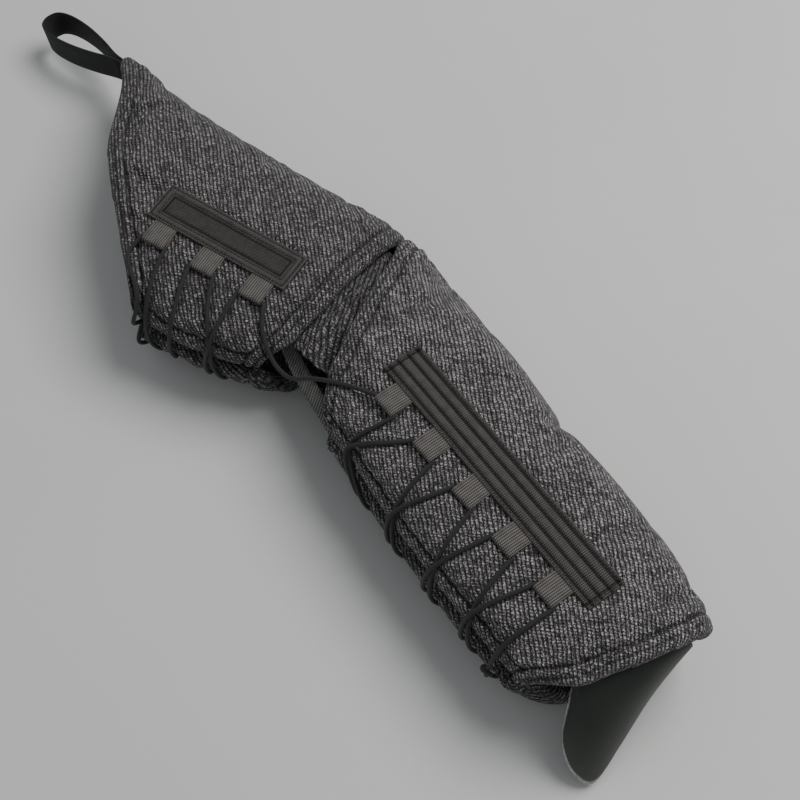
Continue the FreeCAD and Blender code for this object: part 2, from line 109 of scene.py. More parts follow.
def place(arm, points):
    """Row-frame coordinates, in metres, of points given in a section's drawing frame."""
    return spun(points, arm["turn"]) * MM + np.array(ELBOW)


def smooth_curve(places, values, at):
    """Values at each place on a smooth curve through the values, which may be vectors."""
    slopes = np.gradient(values, places, axis=0)
    i = np.clip(np.searchsorted(places, at) - 1, 0, len(places) - 2)
    wide = np.shape(at) + (1,) * (values.ndim - 1)
    run = (places[i + 1] - places[i]).reshape(wide)
    t = (at - places[i]).reshape(wide) / run
    a = (1 + 2 * t) * (1 - t) ** 2 * values[i] + t * (1 - t) ** 2 * run * slopes[i]
    return a + t * t * (3 - 2 * t) * values[i + 1] - t * t * (1 - t) * run * slopes[i + 1]


def smooth(points, at):
    """Value at each place on a smooth curve through (place, value) points, level beyond its ends."""
    places, values = np.array(sorted(points), float).T
    return smooth_curve(places, values, np.clip(np.asarray(at, float), places[0], places[-1]))


def run_lengths(points):
    """Length along a line of points, at each point."""
    return np.concatenate([[0], np.cumsum(np.linalg.norm(np.diff(points, axis=0), axis=1))])


def between(at, places, values):
    """Rows of values at new places, on straight lines between the given ones."""
    return np.stack([np.interp(at, places, column) for column in values.T], -1)


def rounded_side(start_y, start_z, tip, shares):
    """The oval's rounded side, from its widest point (share 1) to the end of the straight fall (share 0)."""
    angle = (1 - shares) * math.pi / 2
    out = np.cos(angle) ** (2 / ROUND)
    up = np.sin(angle) ** (2 / ROUND)
    drop = SLOPE * abs(tip - start_y) * out * (1 - out) ** 3
    return np.stack([start_y + (tip - start_y) * out, start_z * up - drop], -1)


def falls(arm, x):
    """Where the straight falls end at x: (y, z, tip) on the laced side, then on the spine side."""
    ends = []
    for edge, tip in ((arm["band"][0], smooth(arm["nose"], x)), (arm["band"][1], smooth(arm["spine"], x))):
        run = min(SLOPE_RUN, 0.5 * abs(tip - edge))
        ends.append((edge + math.copysign(run, tip - edge), arm["half"] - run * SLOPE, float(tip)))
    return ends


def half_ring(arm, x):
    """Upper half of the section at x, from the lacing gap's rim to the spine, as (y, z) rows."""
    (near_y, near_z, nose), (far_y, far_z, spine) = falls(arm, x)
    laced = rounded_side(near_y, near_z, nose, np.linspace(1, 0, 90))
    slot = smooth(arm["slot"], x)
    rim_y = np.interp(slot, laced[:, 1], laced[:, 0])
    laced = np.vstack([[rim_y, slot], laced[laced[:, 1] > slot + 0.01]])
    low, high = arm["band"]
    flat = np.array([(low, arm["half"]), (high, arm["half"])], float)
    back = rounded_side(far_y, far_z, spine, np.linspace(0, 1, 90))
    return np.vstack([laced, flat, back])


def ring_table(arm, shares, stations):
    """(station, share, y/z) positions on the outside, where share runs rim, top, spine, bottom, rim."""
    table = np.zeros((len(stations), len(shares), 2))
    lengths = np.zeros(len(stations))
    folded = 1 - np.abs(1 - 2 * shares)
    for k, x in enumerate(stations):
        rows = half_ring(arm, x)
        along = run_lengths(rows)
        lengths[k] = along[-1]
        table[k, :, 0] = np.interp(folded * along[-1], along, rows[:, 0])
        table[k, :, 1] = np.interp(folded * along[-1], along, rows[:, 1]) * np.where(shares > 0.5, -1, 1)
    return table, lengths


def spacing(length, step):
    """Shares of a length, close together at both ends where the edge rolls over."""
    near = [0.0, 0.25, 0.9, 1.9, 3.2, 4.7, 6.4, 8.3, 10.4, 12.8]
    count = max(2, int(round((length - 2 * near[-1]) / step)))
    inner = np.linspace(near[-1], length - near[-1], count + 1)
    return np.concatenate([near[:-1], inner, [length - d for d in near[-2::-1]]]) / length


def outside(arm, along, around):
    """Grid of points on the outside of a section, and how far round each is from the spine to the top rim."""
    stations = np.linspace(arm["span"][0] - 12, arm["span"][1] + 12, 90)
    table, lengths = ring_table(arm, around, stations)
    xs = np.zeros((len(along), len(around)))
    ys = np.zeros_like(xs)
    zs = np.zeros_like(xs)
    arcs = np.zeros_like(xs)
    for j in range(len(around)):
        ends = []
        for key, x in (("low_end", arm["span"][0]), ("high_end", arm["span"][1])):
            for _ in range(40):
                y = np.interp(x, stations, table[:, j, 0])
                x = 0.5 * x + 0.5 * float(smooth(arm[key], y))
            ends.append(x)
        ends[1] -= arm["set_back"] * (1 - math.exp(-(max(around[j] - 0.44, 0) / 0.03) ** 2))
        xs[:, j] = ends[0] + (ends[1] - ends[0]) * along
        ys[:, j] = np.interp(xs[:, j], stations, table[:, j, 0])
        zs[:, j] = np.interp(xs[:, j], stations, table[:, j, 1])
        arcs[:, j] = (1 - 2 * around[j]) * np.interp(xs[:, j], stations, lengths)
    return np.stack([xs, ys, zs], -1), arcs


def normals(points):
    """Unit normals of a grid, pointing out of the section."""
    du = np.gradient(points, axis=0)
    dv = np.gradient(points, axis=1)
    n = np.cross(du, dv)
    n /= np.maximum(np.linalg.norm(n, axis=-1, keepdims=True), 1e-9)
    return -n if n[len(n) // 2, n.shape[1] // 4, 2] < 0 else n


def finder(targets):
    """Search tree over points."""
    tree = KDTree(len(targets))
    for k, point in enumerate(targets):
        tree.insert(point, k)
    tree.balance()
    return tree


def nearest(points, targets):
    """Distance of each grid point from the nearest target point, and that target's number."""
    tree = finder(targets)
    found = [tree.find(p)[1:] for p in points.reshape(-1, 3)]
    distance = np.array([f[1] for f in found]).reshape(points.shape[:2])
    return distance, np.array([f[0] for f in found]).reshape(points.shape[:2])


def dense(line, times=6):
    """A line of values with more values between them."""
    at = np.linspace(0, len(line) - 1, (len(line) - 1) * times + 1)
    return between(at, np.arange(len(line)), line)


def border(grid):
    """Values close together all round the border of a grid: both ends, then both rims."""
    return np.concatenate([dense(line) for line in (grid[0], grid[-1], grid[:, 0], grid[:, -1])])


def outward_way(number, flat):
    """Unit direction from each grid point towards the nearest border, in flat cloth coordinates."""
    way = border(flat)[number] - flat
    way /= np.maximum(np.linalg.norm(way, axis=-1, keepdims=True), 1e-6)
    way[0], way[-1] = way[1], way[-2]
    way[:, 0], way[:, -1] = way[:, 1], way[:, -2]
    return way


def roll_over(edge, thick):
    """Depth of the rolled edge at each distance from it, cloth used from its start, and in half the roll."""
    steps = np.linspace(0, EDGE_ROUND, 400)
    depth = 0.5 * thick * (1 - np.sqrt(1 - ((EDGE_ROUND - steps) / EDGE_ROUND) ** 2))
    lengths = run_lengths(np.stack([steps, depth], -1))
    return np.interp(edge, steps, depth), lengths[-1] - np.interp(edge, steps, lengths), lengths[-1]


def mesh_object(name, points, faces, material_of_face=None):
    mesh = bpy.data.meshes.new(name)
    mesh.from_pydata([tuple(p) for p in points], [], [tuple(int(i) for i in f) for f in faces])
    if material_of_face is not None:
        mesh.polygons.foreach_set("material_index", np.asarray(material_of_face, np.int32))
    mesh.polygons.foreach_set("use_smooth", np.ones(len(mesh.polygons), bool))
    mesh.update()
    piece = bpy.data.objects.new(name, mesh)
    bpy.context.scene.collection.objects.link(piece)
    return piece


def set_cloth(piece, values):
    """Store cloth coordinates in millimetres: along the rib, across the rib, and a section number or painted
    shade.
    """
    layer = piece.data.attributes.new("cloth", "FLOAT_VECTOR", "POINT")
    layer.data.foreach_set("vector", np.asarray(values, np.float32).ravel())


def grid_faces(rows, columns, first=0, flip=False):
    i, j = np.meshgrid(np.arange(rows - 1), np.arange(columns - 1), indexing="ij")
    a = first + i * columns + j
    quads = np.stack([a, a + 1, a + columns + 1, a + columns], -1).reshape(-1, 4)
    return quads[:, ::-1] if flip else quads


# ---- Padded sections

SIM_FRAMES = 20
SIM_CAP = 4.0          # most that the padding may swell past its plain shape
SIM_PRESSURE = 4.0
SIM_GRID = 6.0         # spacing of the simulated cloth
FINE_GRID = 1.9        # spacing of the finished cloth


def band_share(arm, points, reach):
    """1 inside the footprint of the band, falling to 0 at reach millimetres outside it."""
    (x0, x1), (y0, y1) = arm["band_x"], arm["band"]
    dx = np.maximum(np.maximum(x0 - points[..., 0], points[..., 0] - x1), 0)
    dy = np.maximum(np.maximum(y0 - points[..., 1], points[..., 1] - y1), 0)
    return np.clip(1 - np.hypot(dx, dy) / reach, 0, 1)


def swell(arm, points, edge):
    """How far each grid point of the padded cloth moves when it is stuffed, by cloth simulation."""
    rows, columns = points.shape[:2]
    piece = mesh_object(arm["name"] + "_swell", place(arm, points).reshape(-1, 3), grid_faces(rows, columns))
    held = piece.vertex_groups.new(name="held")
    firm = np.maximum(np.clip((END_SEAM + 3 - edge) / 3, 0, 1), band_share(arm, points, 3.0)).ravel()
    for k in np.nonzero(firm > 0)[0]:
        held.add([int(k)], float(firm[k]), "REPLACE")
    cloth = piece.modifiers.new("cloth", "CLOTH")
    cloth.settings.quality = 6
    cloth.settings.mass = 0.25
    cloth.settings.tension_stiffness = 18
    cloth.settings.compression_stiffness = 18
    cloth.settings.shear_stiffness = 9
    cloth.settings.bending_stiffness = 1.2
    cloth.settings.shrink_min = -0.035
    cloth.settings.use_pressure = True
    cloth.settings.uniform_pressure_force = SIM_PRESSURE * (1 if normal_sign(points) > 0 else -1)
    cloth.settings.vertex_group_mass = "held"
    cloth.settings.effector_weights.gravity = 0
    cloth.collision_settings.use_collision = False
    scene = bpy.context.scene
    for step in range(1, SIM_FRAMES + 1):
        scene.frame_set(step)
    evaluated = piece.evaluated_get(bpy.context.evaluated_depsgraph_get())
    moved = np.zeros(rows * columns * 3, np.float32)
    evaluated.data.vertices.foreach_get("co", moved)
    scene.frame_set(1)
    moved = moved.reshape(rows, columns, 3).astype(float)
    bpy.data.objects.remove(piece)
    shift = spun((moved - place(arm, points)) / MM, -arm["turn"])
    size = np.linalg.norm(shift, axis=-1, keepdims=True)
    return shift * np.minimum(1, SIM_CAP * np.tanh(size / SIM_CAP) / np.maximum(size, 1e-6))


def normal_sign(points):
    rows, columns = points.shape[:2]
    i, j = rows // 2, columns // 4
    du = points[i + 1, j] - points[i, j]
    dv = points[i, j + 1] - points[i, j]
    return np.cross(dv, du)[2]


def resample(field, old_rows, old_columns, rows, columns):
    """Smoothly interpolate a grid of vectors onto a finer grid."""
    along = smooth_curve(old_rows, field, rows)
    return smooth_curve(old_columns, along.swapaxes(0, 1), columns).swapaxes(0, 1)


def lumps(points, size, seed):
    """Soft irregular bumps, about -1 to 1, with features of the given size in millimetres."""
    rng = np.random.default_rng(seed)
    total = np.zeros(points.shape[:-1])
    for _ in range(14):
        way = rng.normal(size=3)
        way *= 2 * math.pi / (size * rng.uniform(0.8, 1.9) * np.linalg.norm(way))
        total += np.sin(points @ way + rng.uniform(0, 2 * math.pi))
    return total / 3.7


def ridge(distance, width):
    return np.exp(-(distance / width) ** 2)


def quilting(arm, along, around):
    """Shallow quilting, sunk along each line and gently raised between lines, and where its lines are."""
    total = np.zeros_like(along)
    line = np.zeros_like(along)
    for angle, gap, offset, depth in arm["quilts"]:
        turn = math.radians(angle)
        across = -along * math.sin(turn) + around * math.cos(turn) + offset
        near = np.abs((across / gap + 0.5) % 1 - 0.5) * gap
        total += 0.35 * depth * (1 - np.cos(2 * math.pi * across / gap)) - depth * ridge(near, 1.3)
        line = np.maximum(line, ridge(near, 0.9))
    return total, line


def press(points, outward, path, radius, slope, reach):
    """How far points sink so that they lie under a cord that follows path."""
    tree = finder(path)
    sunk = np.zeros(points.shape[:2])
    low, high = path.min(0) - reach, path.max(0) + reach
    near = np.all((points > low) & (points < high), -1)
    for i, j in zip(*np.nonzero(near)):
        found, _, distance = tree.find(points[i, j])
        if distance > reach + 8:
            continue
        away = points[i, j] - np.array(found)
        height = away @ outward[i, j]
        side = math.sqrt(max(0.0, away @ away - height * height))
        if side > reach or height < -8:
            continue
        bound = -radius + slope * max(0.0, side - 0.6 * radius)
        fade = min(1.0, (reach - side) / 4)
        sunk[i, j] = max(0.0, height - bound) * fade
    return sunk


def padded_section(arm, laces, seed):
    """Closed padded sleeve section: woven outside with rolled edges, lining inside."""
    length = arm["span"][1] - arm["span"][0]
    perimeter = arm["around"]
    coarse_rows, coarse_columns = spacing(length, SIM_GRID), spacing(perimeter, SIM_GRID)
    rows, columns = halved(spacing(length, FINE_GRID)), halved(spacing(perimeter, FINE_GRID))
    plain, _ = outside(arm, coarse_rows, coarse_columns)
    shift = swell(arm, plain, nearest(plain, border(plain))[0])
    shift = resample(shift, coarse_rows, coarse_columns, rows, columns)
    points, arcs = outside(arm, rows, columns)
    outward = normals(points)
    edge, number = nearest(points, border(points))
    ends, _ = nearest(points, np.vstack([dense(points[0]), dense(points[-1])]))
    rims, _ = nearest(points, np.vstack([dense(points[:, 0]), dense(points[:, -1])]))
    off_band = 1 - band_share(arm, points, 3.0)
    free = np.clip((edge - END_SEAM) / 6, 0, 1) * off_band
    flap = np.clip((arm["band"][0] - 6 - points[..., 1]) / 20, 0, 1)
    loose = points + shift
    quilted, quilt_line = quilting(arm, points[..., 0], arcs)
    height = (0.55 + 0.5 * flap) * lumps(points, 55.0, seed) * free + quilted * free
    height += arm["crumple"] * flap * lumps(points * (0.5, 1, 1), 15.0, seed + 5) * off_band
    sewn = (ridge(ends - END_SEAM, 1.4) + ridge(rims - RIM_SEAM, 1.5) * (ends > END_SEAM)) * off_band
    off_spine = 1 - 0.8 * ridge(columns - 0.5, 0.09)[None]
    height -= (1.8 * sewn + 0.9 * ridge(ends - END_FOLD, 1.2)) * off_spine
    height += 0.7 * ridge(ends - 0.7 * END_SEAM, 2.6) * off_spine + 1.0 * ridge(rims - 0.6 * RIM_SEAM, 4.5)
    for path in laces:
        height -= press(loose + outward * height[..., None], outward, path, LACE + 0.7, 0.42, 15.0)
    roll, length_out, length_half = roll_over(edge, arm["thick"])
    top = loose + outward * (height - roll)[..., None]
    inside_depth = arm["thick"] - roll + 0.8 * lumps(points, 40.0, seed + 1) * np.clip(edge / 20, 0, 1)
    under = points - outward * inside_depth[..., None]
    top[..., 2] = np.maximum(top[..., 2], FLOOR_GAP - REST_HEIGHT)
    rim = np.zeros(points.shape[:2], bool)
    rim[[0, -1], :] = True
    rim[:, [0, -1]] = True
    under[rim] = top[rim]
    count = rim.size
    index = np.arange(count).reshape(rim.shape)
    inner_index = np.where(rim, index, count + np.cumsum(~rim.ravel()).reshape(rim.shape) - 1)
    quads = grid_faces(*rim.shape, flip=normal_sign(points) > 0)
    back = inner_index.ravel()[quads[:, ::-1]]
    # inner faces past the turned-in cover take the near-black lining, partly painted shade for the inside of
    # the sleeve
    lined = (rims.ravel()[quads].min(1) > 12.0) & (ends.ravel()[quads].min(1) > 3.5)
    slots = np.concatenate([np.zeros(len(quads), int), lined.astype(int)])
    everything = np.vstack([top.reshape(-1, 3), under[~rim]])
    faces = np.vstack([quads, back])
    piece = mesh_object(arm["name"] + "_padded_sleeve", place(arm, everything), faces, slots)
    flat = np.stack([points[..., 0], arcs], -1)
    way = outward_way(number, flat)
    flat_out = flat + way * (length_out - np.clip(EDGE_ROUND - edge, 0, None))[..., None]
    flat_in = flat + way * (2 * length_half - length_out + edge - EDGE_ROUND
                            + np.clip(edge - EDGE_ROUND, 0, None))[..., None]
    # painted shade: darkness for the seam grooves, the hem fold crease and the quilting lines
    shadow = np.clip(0.85 * sewn + 0.7 * ridge(ends - END_FOLD, 1.0) + 0.35 * quilt_line * free, 0, 1)
    outer_cloth, inner_cloth = turned(arm, flat_out, shadow), turned(arm, flat_in, 0 * shadow)
    set_cloth(piece, np.vstack([outer_cloth.reshape(-1, 3), inner_cloth[~rim]]))
    places = seam_places(top, outward, rows * length, columns * perimeter)
    return piece, places


def turned(arm, flat, shadow):
    """Cloth coordinates along and across the twill ribs, then the section's number plus its painted shade in
    seams, hem folds and quilting lines.
    """
    number = 0.0 if arm is FOREARM else 1.0
    cloth = np.concatenate([flat, (number + 0.9 * shadow)[..., None]], -1)
    return spun(cloth, -math.radians(arm["twill"]))


def seam_places(top, outward, along, around, pitch=4.2):
    """Where the stitches of the hem lines lie: (point, direction, up) for each."""
    first, last = np.argmin(np.abs(along - END_SEAM)), np.argmin(np.abs(along - along[-1] + END_SEAM))
    near, far = np.argmin(np.abs(around - RIM_SEAM)), np.argmin(np.abs(around - around[-1] + RIM_SEAM))
    places = []
    for row, column in ((slice(first, last), near), (slice(first, last), far),
                        (first, slice(None)), (last, slice(None))):
        path, ups = top[row, column], outward[row, column]
        steps = run_lengths(path)
        marks = np.arange(pitch / 2, steps[-1] - pitch / 2, pitch)
        at = between(marks, steps, path)
        ahead = between(marks + 0.5, steps, path) - at
        places += list(zip(at, ahead, between(marks, steps, ups)))
    return places


def halved(shares):
    """The same shares with one more between each close pair at the rolled edges."""
    middles = (shares[1:] + shares[:-1]) / 2
    close = np.diff(shares) < np.diff(shares).max() * 0.9
    return np.sort(np.concatenate([shares, middles[close & (np.diff(shares) > 0.0015)]]))


# ---- Cords

EYE_OUT = 10.7         # from a loop's middle to the corner of the lace beside it
EYE_STRAIGHT = 9.4     # how far from a loop's middle the lace runs straight
EYE_LIFT = 3.5         # middle of a loop's eye above the straight fall
LOOP_REACH = 16.3      # from the band's edge to the middle of the eye
LEG_LIFT = 3.0         # middle of the lace above the plain shape of a flap
LAST_LEG = 311.0       # where the end of the lace goes over the rim


def curve_points(route):
    """Points along the smooth quadratic curve that a route controls."""
    curve = bpy.data.curves.new("route", "CURVE")
    curve.dimensions = "3D"
    spline = curve.splines.new("NURBS")
    spline.points.add(len(route) - 1)
    for point, p in zip(spline.points, route):
        point.co = (*[float(c) * MM for c in p], 1)
    spline.order_u = 3
    spline.use_endpoint_u = True
    spline.resolution_u = 10
    holder = bpy.data.objects.new("route", curve)
    bpy.context.scene.collection.objects.link(holder)
    bpy.context.view_layer.update()
    mesh = bpy.data.meshes.new_from_object(holder.evaluated_get(bpy.context.evaluated_depsgraph_get()))
    points = np.array([v.co for v in mesh.vertices], float) / MM
    bpy.data.objects.remove(holder)
    bpy.data.meshes.remove(mesh)
    keep = np.concatenate([[True], np.linalg.norm(np.diff(points, axis=0), axis=1) > 1e-3])
    return points[keep]


def even(points, step):
    """Evenly spaced points along a line, and how far along each one is."""
    lengths = run_lengths(points)
    at = np.linspace(0, lengths[-1], max(2, int(round(lengths[-1] / step)) + 1))
    return between(at, lengths, points), at


def tube_faces(rows, columns, first=0):
    """Faces of a tube of rings, with a cap on each end."""
    i, j = np.meshgrid(np.arange(rows - 1), np.arange(columns), indexing="ij")
    here, beside = first + i * columns + j, first + i * columns + (j + 1) % columns
    quads = np.stack([here, beside, beside + columns, here + columns], -1).reshape(-1, 4)
    ring = first + np.arange(columns)
    return list(quads) + [ring[::-1], ring + (rows - 1) * columns]


def swept(name, arm, path, profile, step=1.6, up=None):
    """Sweep a closed profile of (side, up) points along a path. Cloth runs along it and then round it."""
    centre, at = even(path, step)
    ways = np.gradient(centre, axis=0)
    ways /= np.linalg.norm(ways, axis=1, keepdims=True)
    lift = np.array(up if up is not None else (0.0, 0.0, 1.0), float)
    if abs(lift @ ways[0]) > 0.95:
        lift = np.array((0.0, 1.0, 0.0))
    rings = []
    for centre_point, way in zip(centre, ways):
        lift = (lift if up is None else np.array(up, float))
        lift = lift - way * (lift @ way)
        lift /= np.linalg.norm(lift)
        side = np.cross(way, lift)
        rings.append([centre_point + side * a + lift * b for a, b in profile])
    rings = np.array(rings)
    rows, columns = rings.shape[:2]
    faces = [face[::-1] for face in tube_faces(rows, columns)]
    piece = mesh_object(name, place(arm, rings.reshape(-1, 3)), faces)
    set_cloth(piece, [(a, b, 0.0) for a in at for b in run_lengths(np.array(profile))])
    return piece


def circle(radius, count=12):
    return [(radius * math.cos(2 * math.pi * k / count), radius * math.sin(2 * math.pi * k / count))
            for k in range(count)]


def on_rim(arm, x, share, lift, side):
    """Point part way round the rim of a flap, from the end of the fall (0) to the widest point (1)."""
    start_y, start_z, nose = falls(arm, x)[0]
    shares = np.array([share - 0.01, share, share + 0.01])
    rows = rounded_side(start_y, start_z, nose, shares)
    way = rows[2] - rows[0]
    out = np.array([way[1], -way[0]])
    out /= np.linalg.norm(out)
    if out[1] < 0:
        out = -out
    y, z = rows[1] + out * lift
    return (x, float(y), side * float(z))


def eye(arm, x, side):
    """Point in the line of the loops' eyes."""
    y = arm["band"][0] - LOOP_REACH
    return (x, y, side * (arm["half"] - LOOP_REACH * SLOPE + EYE_LIFT))


def lace_leg(arm, loop_x, corner_x, rim_x, side):
    """Points from inside a loop's eye to the rim of the same flap."""
    corner = eye(arm, corner_x, side)
    rim = on_rim(arm, rim_x, 0.62, LEG_LIFT, side)
    over = on_rim(arm, 0.72 * corner_x + 0.28 * rim_x, 0.10, LEG_LIFT + 0.5, side)
    near = tuple(c + 0.14 * (o - c) for c, o in zip(corner, over))
    low = on_rim(arm, 0.35 * corner_x + 0.65 * rim_x, 0.34, LEG_LIFT + 0.3, side)
    return [eye(arm, loop_x, side), corner, near, over, low, rim]


def laced(arm, first_side):
    """Route of one half of the lace, which changes flap after every loop."""
    route = []
    side = first_side
    loops = arm["loops"]
    for number, x in enumerate(loops):
        if number == 0:
            route += [eye(arm, x - EYE_OUT, side)]
        route += [eye(arm, x - EYE_STRAIGHT, side), eye(arm, x + EYE_STRAIGHT, side)]
        if number == len(loops) - 1:
            route.append(eye(arm, x + EYE_OUT, side))
            break
        toward, back = arm["gaps"][number]
        crossing = arm["crossings"][number][0 if side > 0 else 1]
        rims = (toward, crossing + 2) if side > 0 else (crossing - 2, back)
        lift = 0.0 if side > 0 else 3.8
        route += lace_leg(arm, x, x + EYE_OUT, rims[0], side)[1:]
        route.append((crossing, float(smooth(arm["nose"], crossing)) - 3.0, 0.0))
        back_leg = lace_leg(arm, loops[number + 1], loops[number + 1] - EYE_OUT, rims[1], -side)[1:]
        if lift:
            back_leg[-1] = on_rim(arm, rims[1], 0.62, LEG_LIFT + lift, -side)
        route += back_leg[::-1]
        side = -side
    return route, side


def forearm_lace_routes():
    """Both halves of the forearm lace, which meet in the knot."""
    routes = []
    for first in (1, -1):
        route, last = laced(FOREARM, first)
        end = lace_leg(FOREARM, 305.0, 305.0 + EYE_OUT, LAST_LEG, last)
        route += end[2:]
        knot_y = float(smooth(FOREARM["nose"], LAST_LEG)) - 4.0
        route.append((LAST_LEG, knot_y + 0.5, last * 7.0))
        route.append((LAST_LEG, knot_y, last * 1.0))
        routes.append(route)
    return routes


def upper_lace_routes():
    """Both halves of the upper lace, which meet behind the shoulder edge."""
    routes = []
    for first in (1, -1):
        route, _ = laced(UPPER, first)
        meet = [(-137.0, -168.0, first * 0.02), (-136.0, -176.5, first * 8.0), (-135.0, -180.0, first * 15.0)]
        rim = [(-134.5, 0.66), (-136.5, 0.50), (-142.5, 0.36), (-151.5, 0.27), (-160.0, 0.16), (-163.0, 0.05)]
        routes.append(meet + [on_rim(UPPER, along, share, 2.6, first) for along, share in rim] + route)
    return routes


def elbow_lace_routes():
    """From the last upper loop to the first forearm loop, in the forearm's frame."""
    routes = []
    for side in (1, -1):
        start = [tuple(spun(eye(UPPER, UPPER["loops"][-1] + reach, side), BEND))
                 for reach in (EYE_OUT - 2, EYE_OUT + 2)]
        if side > 0:
            dip = [(3, -137, 48.5), (14, -148, 41), (34, -153, 27), (48, -151, 22), (56, -148, 25),
                   (67, -140, 35), (90, -127, 46)]
        else:
            dip = [(20, -129, -46.5), (46, -122.5, -44), (76, -118.5, -48)]
        end = [eye(FOREARM, FOREARM["loops"][0] - EYE_OUT, side), eye(FOREARM, FOREARM["loops"][0] - 9, side)]
        routes.append(start + dip + end)
    return routes


# ---- Webbing

def joined(pieces, name):
    """One object from several, which keep their cloth coordinates and materials."""
    bpy.ops.object.select_all(action="DESELECT")
    for piece in pieces:
        piece.select_set(True)
    bpy.context.view_layer.objects.active = pieces[0]
    bpy.ops.object.join()
    pieces[0].name = name
    pieces[0].data.name = name
    return pieces[0]


def closed_slab(name, arm, top, bottom, cloth, flip=False, lined=False):
    """Closed layer between two grids of the same size. The bottom can have a second material."""
    rows, columns = top.shape[:2]
    count = rows * columns
    faces = list(grid_faces(rows, columns, 0, not flip)) + list(grid_faces(rows, columns, count, flip))
    loop = ([i * columns for i in range(rows)] + [(rows - 1) * columns + j for j in range(1, columns)]
            + [i * columns + columns - 1 for i in range(rows - 2, -1, -1)] + list(range(columns - 2, 0, -1)))
    for a, b in zip(loop, loop[1:] + loop[:1]):
        face = (a, b, b + count, a + count)
        faces.append(face if flip else face[::-1])
    quads = (rows - 1) * (columns - 1)
    slots = np.arange(len(faces)) // quads == 1 if lined else None
    points = np.vstack([top.reshape(-1, 3), bottom.reshape(-1, 3)])
    piece = mesh_object(name, place(arm, points), faces, slots)
    set_cloth(piece, np.vstack([cloth.reshape(-1, 3)] * 2))
    return piece


BAND_STEP = 1.1        # spacing of the points over a band
BAND_RIM = 1.0         # width of a band's rounded rim
BAND_LIFT = 0.05       # clear space between a section's plain shape and its band


def band_slab(arm, side, heights):
    """Band of webbing on one side of a section, whose face has height heights(x, y) over its base."""
    def marks(low, high):
        inner = np.linspace(low + BAND_RIM, high - BAND_RIM,
                            int(round((high - low - 2 * BAND_RIM) / BAND_STEP)) + 1)
        return np.concatenate([[low, low + 0.3 * BAND_RIM], inner, [high - 0.3 * BAND_RIM, high]])
    xs, ys = arm["band_x"], arm["band"]
    base = arm["half"] + BAND_LIFT
    x, y = np.meshgrid(marks(*xs), marks(*ys), indexing="ij")
    inset = np.minimum(np.minimum(x - xs[0], xs[1] - x), np.minimum(y - ys[0], ys[1] - y))
    height = heights(x, y)
    falloff = 1 - np.clip(inset / BAND_RIM, 0, 1)
    top = height - 0.7 * (1 - np.sqrt(np.clip(1 - falloff ** 2, 0, 1)))
    upper = np.stack([x, y, side * (base + top)], -1)
    lower = np.stack([x, y, np.full_like(x, side * base)], -1)
    # painted shade: the third coordinate darkens the webbing where its face is sunk
    cloth = np.stack([x, y, np.clip((height.max() - height) / 1.6, 0, 1)], -1)
    name = "%s_band_webbing_%s" % (arm["name"], label(side))
    return closed_slab(name, arm, upper, lower, cloth, flip=side < 0)


def row_profile(value, rows, width, depth):
    """Sunk rows, as a height change across a strip."""
    return sum(-depth * np.exp(-((value - r) / width) ** 2) for r in rows)


def forearm_band(side):
    (x0, x1), (y0, y1) = FOREARM["band_x"], FOREARM["band"]
    seams = [y0 + 4.0, y0 + 11.6, y1 - 11.6, y1 - 4.0]

    def heights(x, y):
        h = 2.9 + row_profile(y, seams, 1.0, 1.5)
        h = h + row_profile(x, [x0 + 4.0, x1 - 4.0], 1.0, 1.2)
        inner = (x > x0 + 5) & (x < x1 - 5)
        channel = 0.5 * np.abs(np.sin(math.pi * (y - y0 - 4.0) / 7.9))
        return h + np.where(inner & (y > y0 + 4) & (y < y1 - 4), channel, 0.25)
    return band_slab(FOREARM, side, heights)


def upper_band(side):
    (x0, x1), (y0, y1) = UPPER["band_x"], UPPER["band"]

    def heights(x, y):
        inset = np.minimum(np.minimum(x - x0, x1 - x), np.minimum(y - y0, y1 - y))
        h = 3.3 - 0.7 / (1 + np.exp(-(inset - 8.2) / 0.5))
        return h + row_profile(inset, [2.2, 6.2], 0.8, 0.9) + row_profile(inset, [8.9], 1.0, 1.1)
    return band_slab(UPPER, side, heights)


def label(side):
    return "top" if side > 0 else "bottom"


STITCH_RINGS = 7
STITCH_SIDES = 6


def stitch_mesh(name, arm, places, length, radius):
    """Many stitches as one mesh, each a short thread that dives at both ends.

    Each place is (point, direction, up) in the section's frame.
    """
    verts, faces, cloth = [], [], []
    ring = circle(1.0, STITCH_SIDES)
    for point, way, up in places:
        way = np.array(way, float)
        way /= np.linalg.norm(way)
        up = np.array(up, float)
        up = up - way * (up @ way)
        up /= np.linalg.norm(up)
        side = np.cross(up, way)
        faces += tube_faces(STITCH_RINGS, STITCH_SIDES, len(verts))
        for k in range(STITCH_RINGS):
            share = k / (STITCH_RINGS - 1)
            x = (share - 0.5) * length
            z = radius * (1.0 - 1.7 * abs(2 * share - 1) ** 3)
            size = radius * (0.55 if k in (0, STITCH_RINGS - 1) else 1.0)
            for a, b in ring:
                verts.append(np.array(point, float) + way * x + up * (z + b * size) + side * (a * size))
                cloth.append((x, a, 0.0))
    piece = mesh_object(name, place(arm, np.array(verts)), faces)
    set_cloth(piece, cloth)
    return piece


def row_places(start, end, height, side, pitch=3.6):
    start, end = np.array(start, float), np.array(end, float)
    length = np.linalg.norm(end - start)
    count = int(length / pitch)
    way = (end - start) / length
    places = []
    for k in range(count):
        x, y = start + way * ((k + 0.5) * length / count)
        places.append(((x, y, side * height), (way[0], way[1], 0.0), (0, 0, side)))
    return places


def frame_places(xs, ys, inset, height, side):
    x0, x1, y0, y1 = xs[0] + inset, xs[1] - inset, ys[0] + inset, ys[1] - inset
    corners = [(x0, y0), (x1, y0), (x1, y1), (x0, y1), (x0, y0)]
    places = []
    for a, b in zip(corners, corners[1:]):
        places += row_places(a, b, height, side)
    return places


